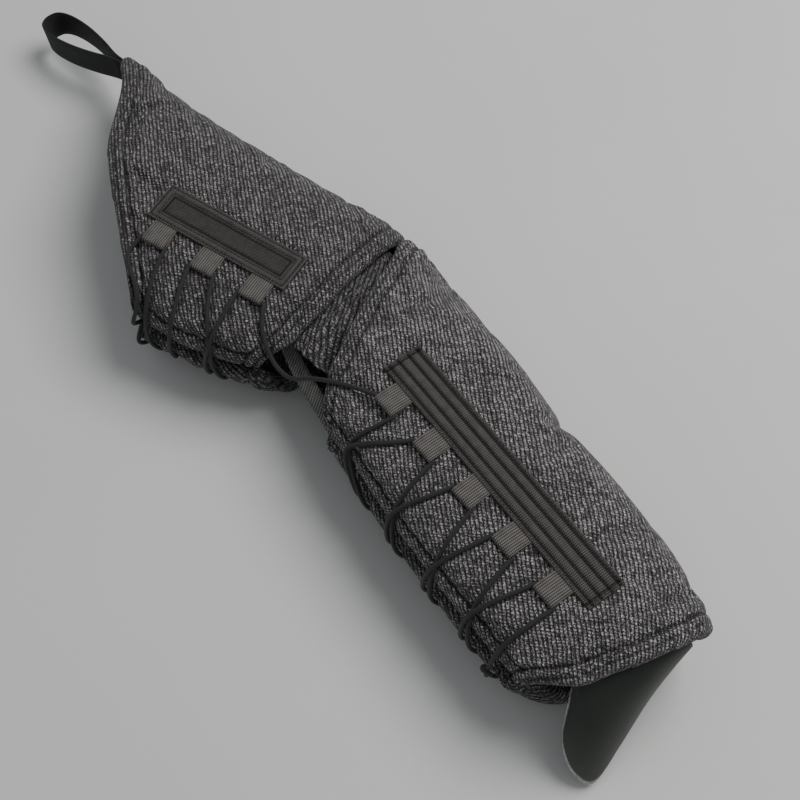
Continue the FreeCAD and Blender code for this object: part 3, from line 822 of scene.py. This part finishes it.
def band_stitches(arm, side):
    xs, ys = arm["band_x"], arm["band"]
    if arm is FOREARM:
        places = frame_places(xs, ys, 2.0, 52.75, side)
        for y in (ys[0] + 11.6, ys[1] - 11.6):
            places += row_places((xs[0] + 6, y), (xs[1] - 6, y), 51.95, side)
        places += frame_places(xs, ys, 4.4, 52.15, side)
    else:
        places = frame_places(xs, ys, 2.2, 48.75, side)
        places += frame_places(xs, ys, 6.2, 48.75, side)
        places += frame_places(xs, ys, 10.2, 47.95, side)
    return stitch_mesh("%s_band_stitches_%s" % (arm["name"], label(side)), arm, places, 2.9, 0.36)


def tape(width, thick, edge=0.45):
    """Cross-section of flat webbing with rounded edges, as (side, up) points."""
    half, high = width / 2, thick / 2
    return [(-half, -0.3 * high), (-half + 0.4 * edge, -high), (-half * 0.5, -high * 1.04), (0, -high),
            (half * 0.5, -high * 1.04), (half - 0.4 * edge, -high), (half, -0.3 * high), (half, 0.3 * high),
            (half - 0.4 * edge, high), (half * 0.5, high * 1.04), (0, high), (-half * 0.5, high * 1.04),
            (-half + 0.4 * edge, high), (-half, 0.3 * high)]


def loop_webbing(arm, x, number, side, rng):
    """Webbing folded round the lace, both ends sewn under the band."""
    y0 = arm["band"][0]
    _, eye_y, eye_z = eye(arm, x, 1)
    radius = LACE + 0.75
    front = eye_y - radius - 0.1
    top, low = arm["half"] + 1.75, arm["half"] + 0.6
    lean = rng.uniform(-0.6, 0.6)
    route = [(y0 + 2.5, top), (y0 - 1.5, top), (y0 - 7, 0.5 * (top + eye_z + radius) + 0.35),
             (eye_y + 2.0, eye_z + radius + 0.15), (eye_y - 1.0, eye_z + radius), (front, eye_z + 1.4),
             (front, eye_z - 1.4), (eye_y - 1.0, eye_z - radius), (eye_y + 2.0, eye_z - radius + 0.1),
             (y0 - 7, 0.5 * (low + eye_z - radius) + 0.2), (y0 - 1.5, low), (y0 + 2.5, low)]
    path = np.array([(x + lean * (y0 - y) / LOOP_REACH, y, side * z) for y, z in route])
    name = "%s_loop_webbing_%s_%d" % (arm["name"], label(side), number)
    return swept(name, arm, curve_points(path), tape(20.0, 0.9), 0.8)


# ---- Fabric between the sections

# depth of the gusset below the covers, from the upper arm's hem (0) to the forearm's (1)
GUSSET_FOLDS = [(0.0, 15.0), (0.08, 16.5), (0.30, 4.5), (0.47, 14.5), (0.60, 7.0), (0.80, 17.0), (1.0, 19.0)]


def elbow_gusset():
    """Folded cloth that closes the notch between the sections, from rim to rim round the spine."""
    around = np.linspace(0.085, 0.915, 240)
    across = np.linspace(0.0, 1.0, 48)
    tuck = 5.0
    edges = []
    for arm, share in ((UPPER, 1.0), (FOREARM, 0.0)):
        step = tuck / (arm["span"][1] - arm["span"][0]) * (-1 if share else 1)
        points, arcs = outside(arm, np.sort([share, share + step, share + 2 * step]), around)
        out, arc = normals(points)[1], arcs[1]
        edges.append(spun(points[1], arm["turn"]))
    upper, lower = edges
    width = np.linalg.norm(lower - upper, axis=1)
    points = upper[None] * (1 - across[:, None, None]) + lower[None] * across[:, None, None]
    reach = np.clip((across[:, None] * width[None] - tuck) / np.maximum(width - 2 * tuck, 1)[None], 0, 1)
    opened = np.clip((width - 14) / 30, 0, 1)[None]
    depth = smooth(GUSSET_FOLDS, reach) * opened + (15.0 + 3.5 * across[:, None]) * (1 - opened)
    points = points - out[None] * (depth + 1.0 * lumps(points, 30.0, 7) * opened)[..., None]
    turn = math.radians(FOREARM["twill"] + 25)
    x = points[..., 0]
    cloth = spun(np.stack([x, arc + np.zeros_like(x), np.zeros_like(x)], -1), -turn)
    return closed_slab("elbow_gusset_fold", FOREARM, points, points - out[None] * 1.5, cloth, lined=True)


def inner_strap():
    """Ribbed strap across the mouth of the notch, just inside the rims of the flaps."""
    route = [(4, -125, 9), (22, -131.5, 9), (48, -137, 8), (78, -140, 5), (100, -142.5, 2), (122, -141, 0)]
    up = (-0.2, -0.5, 0.84)
    return swept("elbow_inner_webbing", FOREARM, curve_points(route), tape(13.0, 1.5), 1.2, up)


# ---- Hand guard

# root x, y and z, reach past the hem, drop below the root, fan in degrees, and bulge
GUARD = np.array([(380.5, -50.0, 29.5, 6.0, 8.0, -10.0, 0.8), (378.5, -68.0, 31.0, 10.5, 19.0, 0.0, 0.8),
                  (374.4, -92.0, 30.5, 20.0, 31.0, 4.0, 0.75), (367.4, -114.0, 27.0, 36.0, 52.0, 11.0, 0.65),
                  (362.4, -127.0, 21.5, 50.0, 67.5, 21.0, 0.5), (360.2, -130.5, 18.5, 47.0, 60.0, 31.0, 0.4),
                  (359.2, -131.7, 17.5, 35.0, 43.0, 43.0, 0.3), (358.7, -132.4, 17.0, 23.0, 23.0, 50.0, 0.3)])
GUARD_TUCK = 16.0      # how far the guard runs back inside the sleeve, where it is sewn


def guard_surface(depth, cut):
    """Grid over the hand guard at a depth below its outer face, trimmed along its free edges by up to cut."""
    stations = np.linspace(0, len(GUARD) - 1, 64)
    rows = []
    for at in stations:
        x0, y0, z0, reach, drop, fan, bulge = [float(smooth(list(enumerate(c)), at)) for c in GUARD.T]
        chord = math.hypot(reach, drop)
        ahead = np.array((math.cos(math.radians(fan)), -math.sin(math.radians(fan)), 0.0))
        inward = ahead * (-drop / chord) + np.array((0, 0, -reach / chord))
        trim = cut * float(smooth([(0, 0.15), (3, 0.2), (4, 0.8), (5, 1.0), (7, 1.0)], at))
        shares = np.linspace(0, 1 - trim / (chord * 1.12), 34)
        angle = shares * math.pi / 2
        along = (1 - bulge) * shares + bulge * np.sin(angle)
        down = (1 - bulge) * shares + bulge * (1 - np.cos(angle))
        root = np.array((x0, y0, z0))
        free = (root + ahead * (reach * along)[:, None] - np.array((0, 0, 1.0)) * (drop * down)[:, None]
                + inward * depth)
        tuck = np.array((1.0, 0.15, -0.02)) * GUARD_TUCK
        back = [root + inward * depth - tuck * (k / 5) for k in range(5, 0, -1)]
        rows.append(np.vstack([back, free]))
    rows = np.array(rows)
    side = rows[-1] - rows[-2]
    side /= np.linalg.norm(side, axis=1, keepdims=True)
    squeeze = np.clip(1 - (stations[-1] - stations) / 0.8, 0, 1)
    return rows - side[None] * cut * squeeze[:, None, None]


def guard_layer(name, outer, inner, cuts):
    top = guard_surface(outer, cuts[0])
    bottom = guard_surface(inner, cuts[1])
    along = np.linalg.norm(np.diff(top, axis=0, prepend=top[:1]), axis=-1).cumsum(0)
    across = np.linalg.norm(np.diff(top, axis=1, prepend=top[:, :1]), axis=-1).cumsum(1)
    cloth = np.stack([along, across, np.zeros_like(along)], -1)
    return closed_slab(name, FOREARM, top, bottom, cloth)


# ---- Hang loop

HANG_ROOT = (-301.5, 25.0, -9.0)
HANG_DROOP = math.radians(10.0)
HANG_TURN = math.radians(172.0)


def hang_frame(points):
    """Points along the hang loop (x out from its root, z across its webbing), in the upper arm's frame."""
    points = np.asarray(points, float)
    c, s = math.cos(HANG_DROOP), math.sin(HANG_DROOP)
    x = points[:, 0] * c + points[:, 2] * s
    z = points[:, 2] * c - points[:, 0] * s
    return spun(np.stack([x, points[:, 1], z], -1), HANG_TURN) + np.array(HANG_ROOT)


def hang_loop():
    """Loop of flat webbing whose two ends are sewn into the shoulder tip."""
    one = [(-15, 1.1, 0), (-6, 1.2, 0), (2, 1.3, 0), (14, 2.2, 0), (34, 8.0, 0), (60, 12.8, 0), (84, 13.6, 0),
           (98, 10.0, 0), (101.5, 2.5, 0)]
    other = [(x, -y, z) for x, y, z in reversed(one)]
    path = curve_points(hang_frame(one + other))
    across = hang_frame([(0, 0, 1), (0, 0, 0)])
    profile = [(b, a) for a, b in tape(24.5, 1.5)]
    return swept("hang_loop_webbing", UPPER, path, profile, 1.4, up=across[0] - across[1])


def hang_tack():
    """Bar of close stitches that holds the two ends of the strap together."""
    places = []
    for face in (-1, 1):
        for k in range(9):
            z = -8 + 2 * k
            at = hang_frame([(7.5, face * 3.0, z), (8.5, face * 3.0, z), (7.5, face * 4.0, z)])
            places.append((at[0], at[1] - at[0], at[2] - at[0]))
    return stitch_mesh("hang_loop_stitches", UPPER, places, 5.5, 0.4)


def lace_knot():
    """Overhand knot where the two ends of the forearm lace meet."""
    y = float(smooth(FOREARM["nose"], LAST_LEG)) - 4.0
    turns = np.linspace(0, 2 * math.pi, 34)
    path = [(LAST_LEG + 1.35 * (math.sin(t) + 2 * math.sin(2 * t)), y - 1.0 + 1.1 * math.sin(3 * t),
             1.35 * (math.cos(t) - 2 * math.cos(2 * t))) for t in turns]
    return swept("lace_knot", FOREARM, curve_points(path), circle(LACE, 10), 1.0)


# ---- Materials

class Value:
    """A number in a node tree, which arithmetic turns into math nodes."""

    def __init__(self, graph, socket):
        self.graph = graph
        self.socket = socket

    def __add__(self, other):
        return self.graph.math("ADD", self, other)

    def __sub__(self, other):
        return self.graph.math("SUBTRACT", self, other)

    def __rsub__(self, other):
        return self.graph.math("SUBTRACT", other, self)

    def __mul__(self, other):
        return self.graph.math("MULTIPLY", self, other)

    def __truediv__(self, other):
        return self.graph.math("DIVIDE", self, other)

    __radd__ = __add__
    __rmul__ = __mul__


class Graph:
    """Small helper that builds one node material."""

    def __init__(self, name, roughness, metallic=0.0, sheen=0.0, specular=0.5, coat=0.0):
        self.material = bpy.data.materials.new(name)
        self.material.use_nodes = True
        self.tree = self.material.node_tree
        self.shader = self.tree.nodes["Principled BSDF"]
        for socket, value in (("Roughness", roughness), ("Metallic", metallic), ("Sheen Weight", sheen),
                              ("Sheen Roughness", 0.6), ("Specular IOR Level", specular),
                              ("Coat Weight", coat), ("Coat Roughness", 0.35)):
            self.shader.inputs[socket].default_value = value

    def link(self, value, socket):
        if isinstance(value, (int, float)):
            socket.default_value = value
        else:
            self.tree.links.new(getattr(value, "socket", value), socket)

    def node(self, kind, *inputs, **settings):
        """A new node with its first inputs linked or set, and named inputs set."""
        node = self.tree.nodes.new("ShaderNode" + kind)
        for value, socket in zip(inputs, node.inputs):
            self.link(value, socket)
        for name, value in settings.items():
            node.inputs[name].default_value = value
        return node

    def math(self, operation, a, b=0.0):
        node = self.node("Math", a, b)
        node.operation = operation
        return Value(self, node.outputs[0])

    def cloth(self):
        """Cloth coordinates in millimetres, as two numbers and the whole vector."""
        attribute = self.tree.nodes.new("ShaderNodeAttribute")
        attribute.attribute_name = "cloth"
        vector = attribute.outputs["Vector"]
        split = self.node("SeparateXYZ", vector)
        return Value(self, split.outputs[0]), Value(self, split.outputs[1]), vector

    def depth(self):
        """The third cloth coordinate: painted shade where webbing is sunk, or a section's number plus its
        painted seam shade.
        """
        return Value(self, self.node("SeparateXYZ", self.cloth()[2]).outputs[2])

    def place(self):
        return self.tree.nodes.new("ShaderNodeTexCoord").outputs["Object"]

    def noise(self, vector, scale, detail=2.0, rough=0.5):
        node = self.node("TexNoise", vector, Scale=scale, Detail=detail, Roughness=rough)
        return Value(self, node.outputs["Fac"])

    def cells(self, vector, scale):
        return Value(self, self.node("TexVoronoi", vector, Scale=scale).outputs["Distance"])

    def random(self, x, y, seed):
        node = self.node("TexWhiteNoise", self.node("CombineXYZ", x, y, seed).outputs[0])
        return Value(self, node.outputs["Value"])

    def colour(self, value, *stops):
        """Base colour: value looked up on a ramp of (position, colour) stops."""
        node = self.node("ValToRGB", value)
        for element, (position, colour) in zip(self.fitted(node.color_ramp, len(stops)), stops):
            element.position = position
            element.color = (*colour, 1)
        self.link(node.outputs[0], self.shader.inputs["Base Color"])

    def fitted(self, ramp, count):
        while len(ramp.elements) < count:
            ramp.elements.new(0.5)
        return ramp.elements

    def rough(self, value):
        self.link(value, self.shader.inputs["Roughness"])

    def bump(self, height, distance):
        node = self.node("Bump", Distance=distance, Strength=1.0)
        self.link(height, node.inputs["Height"])
        self.link(node.outputs[0], self.shader.inputs["Normal"])

    def wave(self, value, pitch):
        """0 to 1 rounded ridges across value, one every pitch millimetres."""
        return self.math("ABSOLUTE", self.math("SINE", value * (math.pi / pitch)))


WEAVE_PITCH = 3.05     # from one twill rib to the next
WEAVE_RUN = 2.2        # from one yarn float to the next along a rib


def woven(name, light, dark):
    """Coarse tweed: dark twill ribs of short light yarn floats, flecked light and dark, with painted shade in
    seams, hem folds and quilting lines.
    """
    g = Graph(name, 0.9, sheen=0.08, specular=0.2)
    along, across, vector = g.cloth()
    section = g.math("FLOOR", g.depth())
    # painted shade of the seams, hem folds and quilting lines
    seam = g.math("FRACT", g.depth())
    drift = (g.noise(vector, 0.08, 2.0) - 0.5) * 2.2
    jitter = (g.noise(vector, 0.55, 3.0, 0.65) - 0.5) * 2.9
    rib = (across + (drift + jitter * 0.7)) / WEAVE_PITCH
    rib_number = g.math("FLOOR", rib)
    rib_share = g.math("FRACT", rib)
    leaning = (along + jitter * 1.5) / WEAVE_RUN + rib_number * 0.43 + rib_share * 0.6
    float_number = g.math("FLOOR", leaning)
    float_share = g.math("FRACT", leaning)
    ridge_across = g.math("SINE", rib_share * math.pi)
    ridge_along = g.math("SINE", float_share * math.pi)
    height = g.math("POWER", ridge_across, 1.25) * g.math("POWER", ridge_along, 0.7)
    tone = g.random(rib_number, float_number, 3.0)
    patch = g.noise(vector, 0.03, 3.0)
    fibre = g.noise(vector, 1.6, 3.0, 0.7)
    speckle = g.math("MAXIMUM", g.noise(vector, 0.95, 1.0, 0.5) * 4.4 - 1.45, 0.12)
    shade = height * (0.35 + tone * 0.75) * (0.35 + fibre * 1.2) * speckle * (0.72 + patch * 0.56)
    # darkened by the painted seam shade, and by 16 per cent on the upper arm
    shade = shade * (1.0 - seam * 0.9) * (1.0 - section * 0.16)
    middle = tuple(d + 0.25 * (l - d) for l, d in zip(light, dark))
    g.colour(shade, (0.02, dark), (0.28, middle), (0.85, light))
    g.bump(height * 0.85 + fibre * 0.35, 0.0011)
    return g.material


def webbing(name, light, dark, rib, yarn, rough=0.75, turned=False, tilt=0.0):
    """Ribbed webbing: ribs across the first cloth coordinate and fine yarns across the second, with painted
    shade where its face is sunk.
    """
    g = Graph(name, rough, sheen=0.05, specular=0.3)
    along, across, vector = g.cloth()
    sunk = g.depth()
    if turned:
        along, across = across, along
    if tilt:
        along = along + across * tilt
    ribs = g.wave(along, rib)
    yarns = g.wave(across + g.math("FLOOR", along / rib) * (0.5 * yarn), yarn)
    height = (0.25 + ribs * 0.75) * (0.45 + yarns * 0.55)
    worn = g.noise(vector, 0.16, 4.0, 0.65)
    fibre = g.noise(vector, 2.4, 3.0, 0.7)
    # painted shade: darker where the band's face is sunk
    shade = height * (0.25 + fibre * 1.3) * (0.5 + worn) * (1.0 - sunk * 0.75)
    g.colour(shade, (0.16, dark), (0.85, light))
    g.rough(rough - 0.1 + worn * 0.2)
    g.bump(height + fibre * 0.25, 0.0008)
    return g.material


def braid(name, light, dark):
    """Round braided cord: two sets of strands that spiral opposite ways."""
    g = Graph(name, 0.6, sheen=0.08, specular=0.4)
    along, around, vector = g.cloth()
    left = g.wave(along + around, 1.5)
    right = g.wave(along - around, 1.5)
    fibre = g.noise(vector, 2.0, 3.0, 0.7)
    g.colour(left * right * (0.4 + fibre), (0.05, dark), (0.9, light))
    g.bump(g.math("MAXIMUM", left, right) + fibre * 0.3, 0.0003)
    return g.material


def thread(name, light, dark):
    """Twisted sewing thread."""
    g = Graph(name, 0.55, sheen=0.05, specular=0.4)
    along, around, _ = g.cloth()
    twist = g.wave(along + around * 0.5, 0.5)
    g.colour(twist * (0.5 + g.noise(g.place(), 900.0, 3.0)), (0.1, dark), (1.0, light))
    g.bump(twist, 0.00012)
    return g.material


def leather(name, light, dark):
    """Smooth black leather with a fine grain and a soft shine."""
    g = Graph(name, 0.42, specular=0.45, coat=0.12)
    at = g.place()
    pores = g.cells(at, 900.0)
    crease = g.noise(at, 55.0, 5.0, 0.6)
    g.colour(g.noise(at, 18.0, 3.0), (0.3, dark), (0.75, light))
    g.rough(0.36 + crease * 0.16)
    g.bump(pores * 0.6 + crease * 0.8, 0.00022)
    return g.material


def foam(name, light, dark):
    """Open foam, with pores and faint stains."""
    g = Graph(name, 0.95, specular=0.2)
    at = g.place()
    pores = g.cells(at, 420.0)
    g.colour(pores * 0.8 + g.noise(at, 30.0, 3.0) * 0.4, (0.1, dark), (0.8, light))
    g.bump(pores, 0.0006)
    return g.material


def lining(name, light, dark):
    """Thin smooth nylon in a plain weave, slightly puckered."""
    g = Graph(name, 0.6, specular=0.35)
    along, across, vector = g.cloth()
    weave = g.wave(along, 0.7) * g.wave(across, 0.7)
    pucker = g.noise(vector, 0.12, 4.0)
    g.colour(weave * 0.5 + pucker * 0.5, (0.1, dark), (0.9, light))
    g.bump(weave * 0.1 + pucker, 0.0012)
    return g.material


def brushed(name, base, rough):
    """Brushed metal."""
    g = Graph(name, rough, metallic=1.0)
    grain = g.noise(g.place(), 260.0, 4.0, 0.7)
    g.colour(grain, (0.3, tuple(0.8 * c for c in base)), (0.7, base))
    g.rough(rough - 0.08 + grain * 0.2)
    g.bump(grain, 0.00006)
    return g.material


def wood(name, light, dark):
    g = Graph(name, 0.55, specular=0.4)
    grain = g.noise(g.place(), 60.0, 6.0, 0.6)
    g.colour(grain, (0.3, dark), (0.7, light))
    g.bump(grain, 0.0002)
    return g.material


def floor_paint(name, light, dark):
    g = Graph(name, 0.9, specular=0.2)
    g.colour(g.noise(g.place(), 3.0, 4.0), (0.2, dark), (0.8, light))
    return g.material


MATERIALS = {
    "woven": woven("woven_cover", (0.62, 0.575, 0.578), (0.0105, 0.0088, 0.0092)),
    # painted shade: the cover's own tweed, made darker for the shadowed notch at the elbow
    "gusset": woven("gusset_cloth", (0.44, 0.41, 0.41), (0.008, 0.007, 0.0072)),
    "band": webbing("band_webbing", (0.150, 0.136, 0.125), (0.004, 0.0036, 0.0034), 1.7, 1.3),
    "loop": webbing("loop_webbing", (0.225, 0.205, 0.188), (0.006, 0.0054, 0.005), 1.9, 1.4, turned=True),
    "diagonal": webbing("strap_ribs", (0.30, 0.29, 0.275), (0.006, 0.006, 0.0055), 2.7, 1.6, tilt=0.7),
    "strap": webbing("strap_webbing", (0.020, 0.020, 0.021), (0.006, 0.006, 0.0065), 0.8, 0.7, rough=0.62),
    "lace": braid("elastic_lace", (0.026, 0.0245, 0.024), (0.004, 0.004, 0.004)),
    "thread": thread("thread", (0.030, 0.028, 0.027), (0.006, 0.006, 0.006)),
    # lining held near black: partly its own dark colour, partly painted shade for the shadowed inside of the
    # sleeve
    "lining": lining("lining_cloth", (0.013, 0.013, 0.0135), (0.004, 0.004, 0.0045)),
    "leather": leather("guard_leather", (0.0135, 0.0185, 0.0122), (0.0072, 0.0100, 0.0066)),
    "foam": foam("guard_foam", (0.50, 0.50, 0.48), (0.22, 0.22, 0.21)),
    "metal": brushed("grip_metal", (0.45, 0.45, 0.46), 0.42),
    "wood": wood("grip_wood", (0.36, 0.22, 0.11), (0.20, 0.11, 0.05)),
    "floor": floor_paint("pale_floor", (0.72, 0.72, 0.70), (0.66, 0.66, 0.64)),
}


def finish_piece(piece, body, materials, nodes=()):
    """Give a piece its materials, parent it to its body's empty when the body is a name or else bake in its
    transform, and hide the CAD nodes that it stands for.
    """
    piece.data.materials.clear()
    for name in materials:
        piece.data.materials.append(MATERIALS[name])
    if isinstance(body, str):
        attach(piece, body)
    else:
        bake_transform(piece)
    if nodes:
        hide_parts(*nodes)


# ---- Assembly

forearm_routes = [curve_points(r) for r in forearm_lace_routes()]
upper_routes = [curve_points(r) for r in upper_lace_routes()]
elbow_routes = [curve_points(r) for r in elbow_lace_routes()]
elbow_in_upper = [spun(route, -BEND) for route in elbow_routes]

for arm, body, laces, seed in ((FOREARM, "forearm", forearm_routes + elbow_routes, 11),
                               (UPPER, "upper_arm", upper_routes + elbow_in_upper, 23)):
    sleeve, seams = padded_section(arm, laces, seed)
    layers = ["cover", "padding", "shell" if arm is FOREARM else "stiffener", "lining", "edge_binding"]
    finish_piece(sleeve, body, ["woven", "lining"], [arm["name"] + "_" + l for l in layers])
    finish_piece(stitch_mesh(arm["name"] + "_hem_stitches", arm, seams, 3.2, 0.4), body, ["thread"])
    rng = random.Random(seed)
    for side in (1, -1):
        band = forearm_band(side) if arm is FOREARM else upper_band(side)
        finish_piece(band, body, ["band"], ["%s_band_%s" % (arm["name"], label(side))])
        finish_piece(band_stitches(arm, side), body, ["thread"],
                     ["%s_band_stitching_%s" % (arm["name"], label(side))])
        for number, x in enumerate(arm["loops"], 1):
            loop = loop_webbing(arm, x, number, side, rng)
            finish_piece(loop, body, ["loop"],
                         ["%s_lace_loop_%s_%d" % (arm["name"], label(side), number)])

cord = circle(LACE)
LACE_STEP = 1.1        # spacing of the rings along a lace
for arm, body, routes in ((FOREARM, "forearm", forearm_routes), (UPPER, "upper_arm", upper_routes)):
    node = arm["name"] + "_lace"
    halves = [swept("%s_cord_%d" % (node, k), arm, r, cord, LACE_STEP) for k, r in enumerate(routes)]
    finish_piece(joined(halves, node + "_cord"), body, ["lace"], [node])

halves = [swept("elbow_lace_%d" % k, FOREARM, r, cord, LACE_STEP) for k, r in enumerate(elbow_routes)]
lace_turn = ("upper_arm", "forearm", place(FOREARM, (10, -140, 40)), place(FOREARM, (100, -120, 40)))
finish_piece(joined(halves, "elbow_lace_cord"), lace_turn, ["lace"], ["elbow_lace_span"])

gusset_turn = ("upper_arm", "forearm", place(FOREARM, (-6, -120, 0)), place(FOREARM, (70, -110, 0)))
finish_piece(elbow_gusset(), gusset_turn, ["gusset", "lining"], ["elbow_gusset"])
strap_turn = ("upper_arm", "forearm", place(FOREARM, (14, -126, 0)), place(FOREARM, (104, -140, 0)))
finish_piece(inner_strap(), strap_turn, ["diagonal"], ["elbow_inner_strap"])

finish_piece(lace_knot(), "forearm", ["lace"], ["lace_end_knot"])
loop_turn = ("upper_arm", "hang_loop", *[place(UPPER, hang_frame([(x, 0, 0)])[0]) for x in (3.0, 26.0)])
finish_piece(hang_loop(), loop_turn, ["strap"], ["hang_loop_strap"])
finish_piece(hang_tack(), loop_turn, ["thread"], ["hang_loop_tack"])

guard_turn = ("forearm", "hand_guard", place(FOREARM, (369, -90, 25)), place(FOREARM, (385, -96, 20)))
for name, outer, inner, insets, material, slot_name in (
        ("outer", 0.0, 1.4, (6.2, 5.0), "leather", "guard_leather"),
        ("foam", 1.4, 4.6, (0.3, 0.0), "foam", "guard_foam"),
        ("inner", 4.6, 6.0, (0.6, 1.6), "leather", "guard_leather")):
    layer = guard_layer("hand_guard_%s_layer" % name, outer, inner, insets)
    finish_piece(layer, guard_turn, [material], ["hand_guard_" + name])

for node, name in (("grip_plates", "metal"), ("grip_rivets", "metal"), ("grip_bar", "wood"),
                   ("grip_sleeve", "leather")):
    piece = frame["nodes"][node]
    piece.data.materials.clear()
    piece.data.materials.append(MATERIALS[name])

# ---- Stage, light and camera

floor = mesh_object("floor", [(-4, -4, 0), (4, -4, 0), (4, 4, 0), (-4, 4, 0)], [(0, 1, 2, 3)])
floor.data.materials.append(MATERIALS["floor"])


LIGHT_AT = (0.3, 1.05, 1.9)
LIGHT_SIZE = 1.4
LIGHT_POWER = 36
SKY_COLOUR = (0.92, 0.96, 1.0, 1)
SKY_STRENGTH = 0.33
LENS = 71.45
SENSOR = 36.0
CAMERA_AT = (0.561, -0.4122, 1.0524)                   # from the elbow, in metres
CAMERA_AXES = ((0.5962, 0.8028, -0.0107),              # right
               (-0.7061, 0.5307, 0.4688),              # up
               (0.382, -0.272, 0.8832))                # back

light_data = bpy.data.lights.new("overhead", "AREA")
light_data.shape = "DISK"
light_data.size = LIGHT_SIZE
light_data.energy = LIGHT_POWER
light = bpy.data.objects.new("overhead", light_data)
light.location = LIGHT_AT
light.rotation_euler = (-Vector(LIGHT_AT)).to_track_quat("-Z", "Y").to_euler()
bpy.context.scene.collection.objects.link(light)

world = bpy.data.worlds.new("studio")
world.use_nodes = True
world.node_tree.nodes["Background"].inputs["Color"].default_value = SKY_COLOUR
world.node_tree.nodes["Background"].inputs["Strength"].default_value = SKY_STRENGTH
bpy.context.scene.world = world

camera_data = bpy.data.cameras.new("camera")
camera_data.lens = LENS
camera_data.sensor_width = SENSOR
camera = bpy.data.objects.new("camera", camera_data)
camera.matrix_world = (Matrix.Translation(ELBOW + Vector(CAMERA_AT))
                       @ Matrix(CAMERA_AXES).transposed().to_4x4())
bpy.context.scene.collection.objects.link(camera)
bpy.context.scene.camera = camera
